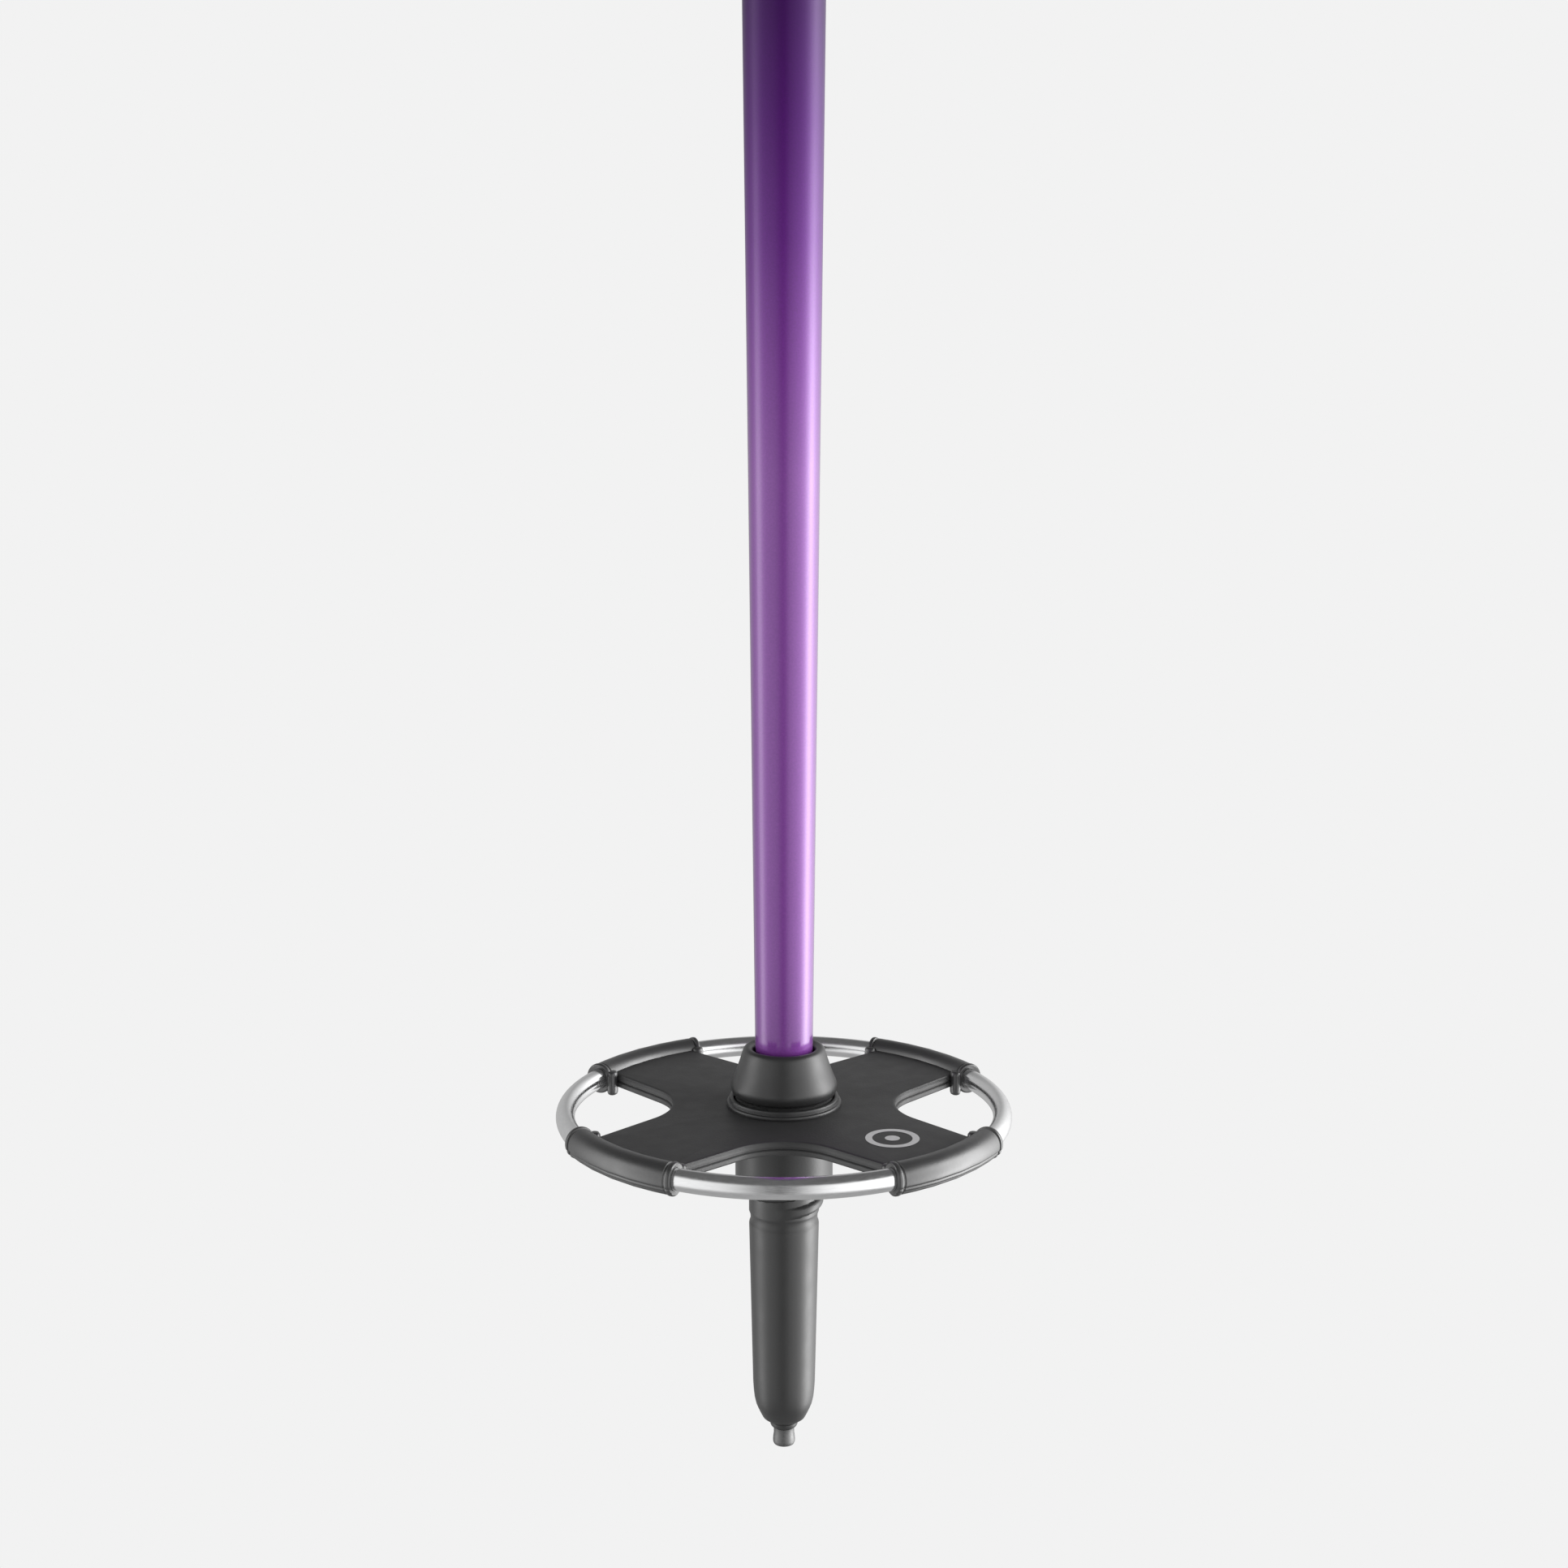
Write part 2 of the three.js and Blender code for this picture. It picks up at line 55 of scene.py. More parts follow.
# Driving dimensions, in millimetres, shared with the CAD model.
SHAFT_RADIUS = 9.0
TAPER_END = 393.0
TAPER = 0.0098
SHAFT_BOTTOM = 30.0
SHAFT_TOP = 1158.0
COLLAR_BOTTOM = 78.5
CORE_RADIUS = 7.4
THREAD_PITCH = 4.0
THREAD_START_ANGLE = math.radians(250)
THREAD_START_Z = 54.3
THREAD_TURNS = 3.6
THREAD_DEPTH = 0.95
HUB_BORE = 7.8
GROOVE_DEPTH = 0.85
GROOVE_HALF_WIDTH = 1.55
RING_Z = 75.0
RING_RADIUS = 45.55
RING_HALF_WIDTH = 1.95
RING_HALF_HEIGHT = 2.2
SLEEVE_HALF_WIDTH = 2.95
SLEEVE_HALF_HEIGHT = 3.15
SLEEVE_HALF_ANGLE = math.radians(18.6)
PLATE_BOTTOM = 73.2
PLATE_TOP = 76.2
OPENING_INNER = 23.4
OPENING_FILLET = 13.3
OPENING_SIDE_ANGLE = math.radians(48)
SKIRT_RADIUS = 10.25
SKIRT_BOTTOM = 59.0
LUG_RADIUS = 42.55
LUG_MIDDLE = 74.25
LUG_HALF_HEIGHT = 2.65
MARK_OFFSET = 21.5
HUB_BEAD_RADIUS = 12.0
HUB_RIM_RADIUS = 11.45
HUB_TOP = 78.1

GRIP_BOTTOM = 1050.0
HEAD_BOTTOM = 1160.0
CAP_TOP = 1200.0
CAP_HALF_X = 21.0
CAP_HALF_Y = 17.0
GRIP_FRONT = [
    (1050, 20), (1055, 19.4), (1070, 14.8), (1082, 17), (1094, 14.8), (1106, 17),
    (1118, 14.8), (1130, 17), (1143, 15.2), (1160, 21),
]
GRIP_BACK = [(1050, 17.6), (1055, 17.2), (1066, 14.6), (1108, 16.4), (1146, 14.4), (1160, 21)]
GRIP_SIDE = [(1050, 17), (1055, 16.6), (1066, 13.4), (1108, 14.6), (1146, 13.2), (1160, 17)]

WEB_WIDTH = 20.0
WEB_THICKNESS = 1.6
PIVOT_X = -25.5
SLOT_Z = 1182.0
PAD_WIDTH = 32.0
PAD_THICKNESS = 4.0
LOOP_ROUTE = [
    (-23.9, 1134), (-23.9, 1090), (-23.9, 1045), (-24.8, 1008), (-29.5, 978), (-42, 961),
    (-57, 963), (-69.5, 984), (-72, 1014), (-62.5, 1045), (-46, 1075), (-31, 1105), (-25.6, 1134),
]
PAD_FROM = 0.28
PAD_TO = 0.82
TAIL_ROUTE = [(-27.1, 1136), (-27.9, 1126), (-33.5, 1112), (-43, 1099.5)]
KEEPER_BOTTOM = 1146.0
KEEPER_TOP = 1156.0

# Painted shade up the shaft, at heights in metres: the colour darkens from mid purple to dark violet and the
# gloss fades, standing in for light that falls off with height. Columns: height, colour, gloss.
SHAFT_PAINTED_SHADE = [
    (0.205, (0.205, 0.048, 0.305), 1.0), (0.227, (0.168, 0.026, 0.270), 0.75),
    (0.251, (0.110, 0.010, 0.200), 0.36), (0.273, (0.072, 0.0035, 0.142), 0.14),
    (0.293, (0.045, 0.0018, 0.094), 0.05), (0.345, (0.021, 0.0011, 0.044), 0.05),
]

# The camera, in millimetres of lens, metres, and degrees below level.
CAMERA_LENS = 43.73
CAMERA_PLACE = (0.0, -0.3835, 0.2053)
CAMERA_DOWN = 9.09

# Brightness of the studio's walls by direction, in degrees from the camera's side, + to the right.
WALLS = [
    (-180, 0.40), (-160, 0.52), (-138, 0.52), (-118, 0.55), (-104, 1.1), (-96, 2.9), (-84, 3.2), (-75, 1.7),
    (-62, 1.15), (-40, 1.1), (-24, 0.9), (-13, 0.38), (-4, 0.16), (4, 0.26), (10, 0.62), (18, 1.1),
    (34, 1.5), (52, 1.8), (68, 2.7), (80, 5.0), (90, 8.4), (100, 8.4), (110, 5.0), (122, 2.4),
    (140, 1.2), (164, 0.7), (180, 0.40),
]
WALL_PEAK = 8.4
CEILING = 0.14
FLOOR_GLOW = 0.42


# ---- mesh helpers ----


def shaft_radius(z):
    return SHAFT_RADIUS - TAPER * max(0.0, TAPER_END - z)


def outline_at(stations, z):
    """Distance at a height on an outline whose stations are its highest and lowest places."""
    for (z0, r0), (z1, r1) in zip(stations, stations[1:]):
        if z <= z1:
            share = min(1.0, max(0.0, (z - z0) / (z1 - z0)))
            return r0 + (r1 - r0) * (1 - math.cos(math.pi * share)) / 2
    return stations[-1][1]


def make_piece(name, vertices, faces, smooth_angle=35.0):
    """A piece from vertices in millimetres. Edges sharper than the angle stay sharp."""
    mesh = bpy.data.meshes.new(name)
    mesh.from_pydata([(x * MM, y * MM, z * MM) for x, y, z in vertices], [], faces)
    mesh.validate()
    mesh.shade_smooth()
    mesh.set_sharp_from_angle(angle=math.radians(smooth_angle))
    piece = bpy.data.objects.new(name, mesh)
    bpy.context.scene.collection.objects.link(piece)
    return piece


def grid_faces(rows, columns, wrap_rows=False, wrap_columns=False):
    """Quads of a grid of rows by columns, joined round where stated."""
    faces = []
    for i in range(rows if wrap_rows else rows - 1):
        for j in range(columns if wrap_columns else columns - 1):
            a, b = i * columns + j, i * columns + (j + 1) % columns
            next_row = ((i + 1) % rows) * columns
            faces.append((a, b, next_row + (j + 1) % columns, next_row + j))
    return faces


def circle(count):
    """Angles of points spread evenly round a circle."""
    return [2 * math.pi * j / count for j in range(count)]


def tube_faces(rows, columns, base=0):
    """Faces of a tube of rings whose two ends are closed by one face each."""
    last = (rows - 1) * columns
    faces = grid_faces(rows, columns, wrap_columns=True)
    faces += [tuple(reversed(range(columns))), tuple(range(last, last + columns))]
    return [tuple(base + i for i in face) for face in faces]


def turned(name, profile, segments=160, closed=True, relief=None):
    """Turned piece from (radius, z) points that run up the outside. A relief alters the radius."""
    vertices = []
    for r, z in profile:
        for a in circle(segments):
            out = relief(r, a, z) if relief else r
            vertices.append((out * math.cos(a), out * math.sin(a), z))
    faces = grid_faces(len(profile), segments, wrap_rows=closed, wrap_columns=True)
    return make_piece(name, vertices, faces)


def catmull_rom(points, count):
    """Evenly spaced points and unit tangents along a centripetal curve in the XZ plane."""
    p = [np.array(q, float) for q in points]
    p = [2 * p[0] - p[1]] + p + [2 * p[-1] - p[-2]]
    dense = []
    for p0, p1, p2, p3 in zip(p, p[1:], p[2:], p[3:]):
        t0 = 0.0
        t1 = t0 + np.linalg.norm(p1 - p0) ** 0.5
        t2 = t1 + np.linalg.norm(p2 - p1) ** 0.5
        t3 = t2 + np.linalg.norm(p3 - p2) ** 0.5
        for t in np.linspace(t1, t2, 40, endpoint=False):
            a1 = (t1 - t) / (t1 - t0) * p0 + (t - t0) / (t1 - t0) * p1
            a2 = (t2 - t) / (t2 - t1) * p1 + (t - t1) / (t2 - t1) * p2
            a3 = (t3 - t) / (t3 - t2) * p2 + (t - t2) / (t3 - t2) * p3
            b1 = (t2 - t) / (t2 - t0) * a1 + (t - t0) / (t2 - t0) * a2
            b2 = (t3 - t) / (t3 - t1) * a2 + (t - t1) / (t3 - t1) * a3
            dense.append((t2 - t) / (t2 - t1) * b1 + (t - t1) / (t2 - t1) * b2)
    dense.append(p[-2])
    dense = np.array(dense)
    lengths = np.concatenate([[0], np.cumsum(np.linalg.norm(np.diff(dense, axis=0), axis=1))])
    even = np.linspace(0, lengths[-1], count)
    line = np.stack([np.interp(even, lengths, dense[:, k]) for k in range(2)], axis=1)
    tangents = np.gradient(line, axis=0)
    tangents /= np.linalg.norm(tangents, axis=1)[:, None]
    return line, tangents, even


# ---- materials ----


class Tree:
    """Short hand for building a node tree."""

    def __init__(self, tree):
        self.tree = tree
        tree.nodes.clear()

    def add(self, kind, **settings):
        node = self.tree.nodes.new(kind)
        for key, value in settings.items():
            setattr(node, key, value)
        return node

    def link(self, source, target):
        self.tree.links.new(source, target)

    def feed(self, socket, value):
        """Sets a socket from a number, a colour or another node's output."""
        if isinstance(value, bpy.types.NodeSocket):
            self.link(value, socket)
        else:
            socket.default_value = value

    def math(self, operation, *values):
        node = self.add("ShaderNodeMath", operation=operation)
        for socket, value in zip(node.inputs, values):
            self.feed(socket, value)
        return node.outputs[0]

    def parts(self, vector):
        """The X, Y and Z of a vector."""
        node = self.add("ShaderNodeSeparateXYZ")
        self.link(vector, node.inputs[0])
        return node.outputs

    def ramp(self, value, stops, interpolation="LINEAR"):
        """A curve of colour through (position, colour) stops."""
        node = self.add("ShaderNodeValToRGB")
        node.color_ramp.interpolation = interpolation
        self.link(value, node.inputs[0])
        elements = node.color_ramp.elements
        for i, (position, colour) in enumerate(stops):
            element = elements[i] if i < 2 else elements.new(position)
            element.position = position
            element.color = colour
        return node.outputs["Color"]


class Look(Tree):
    """A material's tree round one shader, placed by object coordinates."""

    def __init__(self, name):
        self.material = bpy.data.materials.new(name)
        self.material.use_nodes = True
        super().__init__(self.material.node_tree)
        self.shader = self.add("ShaderNodeBsdfPrincipled")
        output = self.add("ShaderNodeOutputMaterial")
        self.link(self.shader.outputs[0], output.inputs["Surface"])
        self.place = self.add("ShaderNodeTexCoord").outputs["Object"]

    def noise(self, scale, detail=3.0, roughness=0.5, stretch=None):
        node = self.add("ShaderNodeTexNoise")
        for key, value in (("Scale", scale), ("Detail", detail), ("Roughness", roughness)):
            node.inputs[key].default_value = value
        place = self.place
        if stretch:
            mapping = self.add("ShaderNodeMapping")
            mapping.inputs["Scale"].default_value = stretch
            self.link(place, mapping.inputs["Vector"])
            place = mapping.outputs[0]
        self.link(place, node.inputs["Vector"])
        return node.outputs["Fac"]

    def span(self, *values):
        """Maps a value from one range to another: value, low, high, new low, new high."""
        node = self.add("ShaderNodeMapRange")
        for socket, value in zip(node.inputs, values):
            self.feed(socket, value)
        return node.outputs[0]

    def mix(self, share, a, b, blend="MIX"):
        node = self.add("ShaderNodeMix", data_type="RGBA", blend_type=blend)
        for index, value in ((0, share), (6, a), (7, b)):
            self.feed(node.inputs[index], value)
        return node.outputs[2]

    def wave(self, value, turns, shift=None):
        """Sine of a value that goes round this many times in one unit."""
        angle = self.math("MULTIPLY", value, 2 * math.pi * turns)
        return self.math("SINE", angle if shift is None else self.math("ADD", angle, shift))

    def band(self):
        """Share across a band and millimetres along it, from its own UV map."""
        outputs = self.parts(self.add("ShaderNodeUVMap", uv_map="along").outputs[0])
        return outputs["X"], outputs["Y"]

    def bump(self, height, strength, distance):
        node = self.add("ShaderNodeBump")
        node.inputs["Strength"].default_value = strength
        node.inputs["Distance"].default_value = distance
        self.link(height, node.inputs["Height"])
        return node.outputs[0]

    def finish(self, colour, roughness, normal=None, **uniform):
        """Feeds the shader, sets its uniform values and gives the finished material."""
        self.feed(self.shader.inputs["Base Color"], colour)
        self.feed(self.shader.inputs["Roughness"], roughness)
        if normal is not None:
            self.feed(self.shader.inputs["Normal"], normal)
        for key, value in uniform.items():
            self.shader.inputs[key.replace("_", " ")].default_value = value
        return self.material


def grey(value, tint=0.0):
    return (value, value * (1 + 0.3 * tint), value * (1 + tint), 1.0)


def moulded_plastic(name, tone, roughness, grain, grain_depth, hue=(1.0, 1.005, 1.02), shine=0.5):
    """Dark moulded plastic: fine grain, faint flow marks and rubbed places."""
    n = Look(name)
    dark, light = ([tone * share * part for part in hue] + [1] for share in (0.88, 1.12))
    uneven = n.span(n.noise(260, 3), 0.3, 0.7, roughness - 0.03, roughness + 0.04)
    fine = n.bump(n.noise(grain, 2), 0.35, grain_depth)
    return n.finish(n.mix(n.noise(90, 4), dark, light), uneven, fine, Specular_IOR_Level=shine)


def shaft_purple():
    """Glossy purple metal with painted shade: its colour and gloss fade to dark violet up the shaft, where
    the light falls off.
    """
    n = Look("shaft_purple")
    low, high = SHAFT_PAINTED_SHADE[0][0], SHAFT_PAINTED_SHADE[-1][0]
    height = n.span(n.parts(n.place)["Z"], low, high, 0.0, 1.0)
    places = [(z - low) / (high - low) for z, _, _ in SHAFT_PAINTED_SHADE]
    # painted shade: the paint colour darkens with height, and the coat's gloss, with its highlights, fades
    # with height
    paint = n.ramp(height, [(p, (*colour, 1)) for p, (_, colour, _) in zip(places, SHAFT_PAINTED_SHADE)])
    coat = n.ramp(height, [(p, grey(gloss)) for p, (_, _, gloss) in zip(places, SHAFT_PAINTED_SHADE)])
    n.link(coat, n.shader.inputs["Coat Weight"])
    flake = n.span(n.noise(2600, 2), 0.35, 0.75, 0.94, 1.07)
    drawn = n.span(n.noise(55, 3, stretch=(14, 14, 0.5)), 0.3, 0.7, 0.34, 0.40)
    return n.finish(n.mix(1.0, paint, flake, "MULTIPLY"), drawn,
                    Metallic=0.16, Coat_Roughness=0.06, Coat_IOR=1.5, Specular_IOR_Level=0.2)


def ring_metal():
    """Polished wire with fine drawing lines along it."""
    n = Look("ring_metal")
    lines = n.noise(700, 3, stretch=(1, 1, 6))
    return n.finish(n.mix(lines, grey(0.70, 0.01), grey(0.86, 0.01)), n.span(lines, 0.3, 0.7, 0.16, 0.24),
                    n.bump(n.noise(1500, 2), 0.05, 0.00002), Metallic=1.0)


def tip_metal():
    """Sintered grey tip, scuffed at its end."""
    n = Look("tip_metal")
    scuff = n.noise(1800, 5, 0.65)
    return n.finish(n.mix(scuff, grey(0.12), grey(0.20)), n.span(scuff, 0.3, 0.7, 0.42, 0.58),
                    n.bump(scuff, 0.25, 0.00008), Metallic=1.0)


def steel_wire():
    n = Look("pin_steel")
    lines = n.noise(900, 2, stretch=(1, 0.05, 1))
    return n.finish(n.mix(lines, grey(0.5), grey(0.62)), n.span(lines, 0.3, 0.7, 0.22, 0.34), Metallic=1.0)


def soft_rubber(name, tone, roughness=0.78):
    """Matte rubber with a fine sprayed texture and a faint dusty sheen."""
    n = Look(name)
    dust = n.noise(140, 4)
    pebble = n.add("ShaderNodeTexVoronoi")
    pebble.inputs["Scale"].default_value = 1700
    n.link(n.place, pebble.inputs["Vector"])
    return n.finish(n.mix(dust, grey(tone * 0.8, 0.04), grey(tone * 1.3, 0.04)),
                    n.span(dust, 0.3, 0.7, roughness - 0.06, roughness + 0.06),
                    n.bump(pebble.outputs["Distance"], 0.30, 0.00012), Sheen_Weight=0.12, Sheen_Roughness=0.5)


def weave(name, tone, accent):
    """Webbing whose ribs and crossing yarns follow the piece's UV map, with a coloured line by each edge."""
    n = Look(name)
    across, along = n.band()
    ribs = n.wave(across, 13)
    over = n.math("GREATER_THAN", ribs, 0.0)
    yarn = n.math("ADD", n.math("MULTIPLY", over, n.wave(along, 1 / 1.1)),
                  n.math("MULTIPLY", n.math("SUBTRACT", 1.0, over), n.wave(along, 1 / 1.1, math.pi)))
    height = n.math("ADD", n.math("MULTIPLY", n.math("ABSOLUTE", ribs), 0.8), n.math("MULTIPLY", yarn, 0.35))
    # painted shade: the colour darkens in the hollows between ribs and yarns and lightens on their crowns,
    # times a random tone
    shade = n.math("MULTIPLY", n.span(height, -0.35, 1.15, 0.55, 1.35),
                   n.span(n.noise(1500, 4), 0.3, 0.7, 0.85, 1.15))
    edge = n.math("ABSOLUTE", n.math("SUBTRACT", across, 0.5))
    stripe = n.math("MULTIPLY", n.math("GREATER_THAN", edge, 0.335), n.math("LESS_THAN", edge, 0.405))
    base = n.mix(stripe, grey(tone, 0.08), accent)
    return n.finish(n.mix(1.0, base, shade, "MULTIPLY"), n.span(height, -0.35, 1.15, 0.92, 0.74),
                    n.bump(height, 0.7, 0.00025), Sheen_Weight=0.25, Sheen_Roughness=0.45)


def pad_cloth():
    """Knitted pad cover: small loops and a smooth bound edge."""
    n = Look("pad_fabric")
    across, along = n.band()
    wales = n.wave(across, 30)
    courses = n.wave(along, 1 / 0.9, n.math("MULTIPLY", wales, 1.1))
    knit = n.math("MULTIPLY", n.math("ADD", wales, courses), 0.5)
    edge = n.math("GREATER_THAN", n.math("ABSOLUTE", n.math("SUBTRACT", across, 0.5)), 0.425)
    inner = n.math("SUBTRACT", 1.0, edge)
    height = n.math("ADD", n.math("MULTIPLY", knit, inner), n.math("MULTIPLY", courses, edge))
    # painted shade: the colour darkens in the knit's hollows and lightens on its loops, times a random tone
    shade = n.math("MULTIPLY", n.span(height, -1.0, 1.0, 0.6, 1.3),
                   n.span(n.noise(900, 4), 0.3, 0.7, 0.85, 1.15))
    base = n.mix(edge, grey(0.030, 0.08), (0.075, 0.022, 0.115, 1))
    return n.finish(n.mix(1.0, base, shade, "MULTIPLY"), n.span(height, -1.0, 1.0, 0.95, 0.8),
                    n.bump(height, 0.6, 0.00022), Sheen_Weight=0.3, Sheen_Roughness=0.5)


def stitch_thread():
    n = Look("stitch_thread")
    twist = n.noise(3200, 2)
    return n.finish(n.mix(twist, (0.16, 0.07, 0.23, 1), (0.26, 0.12, 0.36, 1)),
                    n.span(twist, 0.3, 0.7, 0.5, 0.7))


def mark_paint():
    """Printed light grey ink."""
    n = Look("mark_paint")
    worn = n.noise(1400, 4)
    return n.finish(n.mix(worn, grey(0.50), grey(0.66)), n.span(worn, 0.3, 0.7, 0.5, 0.65))


# ---- lower pieces ----


def build_shaft():
    """Tapered tube with a fine ring of steps so that its painted shade fade and gloss stay smooth."""
    heights = [SHAFT_BOTTOM] + list(np.arange(45, TAPER_END, 12.0)) + [TAPER_END]
    heights += list(np.arange(420, SHAFT_TOP - 5, 45.0)) + [SHAFT_TOP]
    outside = [(shaft_radius(z), z) for z in heights]
    inside = [(r - 1.1, z) for r, z in reversed(outside)]
    return turned("shaft_tube", outside + inside, 160)


def build_tip():
    profile = [(0.01, 0), (1.2, 0.0), (1.9, 0.04), (2.2, 0.18), (2.36, 0.55), (2.38, 1.1), (2.3, 1.9),
               (2.2, 2.5), (2.2, 3.6), (2.3, 4.0), (1.5, 4.0), (1.5, 24), (0.01, 24)]
    return turned("tip_pin", profile, 96, closed=False)


def thread_height(angle, z):
    """How far the thread stands out of the core at a place, with a tapering start and end."""
    turn = (angle - THREAD_START_ANGLE) / (2 * math.pi)
    nearest = round((z - THREAD_START_Z) / THREAD_PITCH - turn)
    best = 0.0
    for k in (nearest - 1, nearest, nearest + 1):
        along = turn + k
        if not 0 <= along <= THREAD_TURNS:
            continue
        off = abs(z - (THREAD_START_Z + THREAD_PITCH * along)) / 1.25
        fade = min(1.0, along / 0.22, (THREAD_TURNS - along) / 0.12)
        fade = fade * fade * (3 - 2 * fade)
        ridge = max(0.0, 1 - off ** 3) if off < 1 else 0.0
        best = max(best, THREAD_DEPTH * ridge * fade)
    return best


def build_ferrule():
    lower = [(2.55, 4.3), (2.78, 4.35), (2.95, 4.7), (3.0, 5.3), (3.45, 5.75), (4.2, 6.25), (4.6, 6.55),
             (5.0, 7.3), (5.6, 8.6), (6.0, 9.6), (6.32, 11.0), (6.5, 12.6), (6.62, 14.4)]
    heights = list(np.linspace(16, 49.6, 12))
    lower += [(6.62 + 0.77 * (z - 14.4) / 36, z) for z in heights]
    lower += [(7.38, 50.1), (7.3, 50.5), (7.12, 50.8), (7.08, 51.4), (7.12, 52.2), (7.3, 52.7)]
    threaded = [(CORE_RADIUS, z) for z in np.arange(53.0, 70.5, 0.16)]
    upper = [(CORE_RADIUS, 74), (CORE_RADIUS, 78.2), (7.6, COLLAR_BOTTOM), (10.0, COLLAR_BOTTOM),
             (10.4, COLLAR_BOTTOM + 0.12), (10.72, COLLAR_BOTTOM + 0.4), (10.95, COLLAR_BOTTOM + 0.85),
             (11.09, COLLAR_BOTTOM + 1.45), (11.1, 80.5), (11.0, 81.0), (10.72, 81.7), (10.35, 82.6),
             (9.86, 83.9), (9.36, 85.3), (8.98, 86.5), (8.72, 87.4), (8.52, 88.0), (8.2, 88.4),
             (7.75, 88.6), (7.2, 88.55), (6.75, 88.3), (6.45, 87.9), (6.32, 87.2), (6.3, 86.0)]
    shank = [(5.75, 29.7), (0.01, 29.7)]

    def relief(r, angle, z):
        return r + thread_height(angle, z) if 53.0 <= z <= 70.5 and r > 7 else r

    profile = lower + threaded + upper + shank
    return turned("ferrule_body", profile, 180, closed=False, relief=relief)


def build_seal():
    line = [(8.2, 76.9), (9.8, 76.9), (10.1, 77.1), (10.2, 77.55), (10.1, 78.0), (9.8, 78.2), (8.2, 78.2)]
    return turned("seal_ring", line, 128)


def build_ring():
    profile = [(RING_RADIUS + RING_HALF_WIDTH * math.cos(a), RING_Z + RING_HALF_HEIGHT * math.sin(a))
               for a in circle(40)]
    return turned("ring_wire", profile, 256)


def plate_outline():
    """Points and outward normals round the four-armed plate, whose arm ends lie in the sleeves."""
    centre = OPENING_INNER + OPENING_FILLET
    start = math.pi / 2 + OPENING_SIDE_ANGLE
    tangent = Vector((centre + OPENING_FILLET * math.cos(start), OPENING_FILLET * math.sin(start)))
    side = Vector((math.cos(OPENING_SIDE_ANGLE), math.sin(OPENING_SIDE_ANGLE)))
    reach = RING_RADIUS - 1.0
    # where the straight side of the opening meets the arm's end
    dot = tangent.dot(side)
    length = -dot + math.sqrt(dot * dot - tangent.length_squared + reach * reach)
    corner = tangent + side * length
    corner_angle = math.atan2(corner.y, corner.x)
    half = []
    for i in range(13):
        angle = math.pi - (math.pi - start) * i / 12
        half.append((centre + OPENING_FILLET * math.cos(angle), OPENING_FILLET * math.sin(angle)))
    for i in range(1, 13):
        half.append(tuple(tangent + side * (length * i / 12)))
    end_count = 14
    for i in range(1, end_count):
        angle = corner_angle + (math.pi / 2 - 2 * corner_angle) * i / end_count
        half.append((reach * math.cos(angle), reach * math.sin(angle)))
    mirrored = [(y, x) for x, y in reversed(half[1:25])]
    quarter = half + mirrored
    outline = []
    for k in range(4):
        c, s = math.cos(k * math.pi / 2), math.sin(k * math.pi / 2)
        outline += [(x * c - y * s, x * s + y * c) for x, y in quarter]
    return outline


def build_plate():
    """The plate: its edge has a small round, a fine parting groove half way down and a lower lip."""
    outline = [Vector(p) for p in plate_outline()]
    count = len(outline)
    normals = []
    for i in range(count):
        along = (outline[(i + 1) % count] - outline[i - 1]).normalized()
        normals.append(Vector((along.y, -along.x)))
    edge = [(-0.75, 0.0), (-0.42, -0.04), (-0.18, -0.16), (-0.05, -0.36), (0.0, -0.62), (0.0, -1.2),
            (-0.05, -1.32), (-0.22, -1.42), (-0.22, -1.62), (-0.02, -1.74), (0.1, -1.9), (0.1, -2.5),
            (0.04, -2.74), (-0.12, -2.92), (-0.4, -3.0)]
    vertices = []
    for inset, drop in edge:
        for point, normal in zip(outline, normals):
            place = point + normal * inset
            vertices.append((place.x, place.y, PLATE_TOP + drop))
    faces = [tuple(reversed(f)) for f in grid_faces(len(edge), count, wrap_columns=True)]
    hub = len(vertices)
    inner = HUB_BEAD_RADIUS - 2
    for z in (PLATE_TOP, PLATE_BOTTOM):
        for point in outline:
            direction = point.normalized() * inner
            vertices.append((direction.x, direction.y, z))
    last = (len(edge) - 1) * count
    for i in range(count):
        j = (i + 1) % count
        faces.append((i, j, hub + j, hub + i))
        faces.append((last + j, last + i, hub + count + i, hub + count + j))
    return make_piece("basket_plate", vertices, faces, 30)


def groove_depth(angle, z):
    """How far the hub's thread is cut past its bore, so that it clears the ferrule's thread all round."""
    along = (z - THREAD_START_Z) / THREAD_PITCH - (angle - THREAD_START_ANGLE) / (2 * math.pi)
    off = abs(along - round(along)) * THREAD_PITCH / GROOVE_HALF_WIDTH
    return GROOVE_DEPTH * max(0.0, 1 - off ** 3)


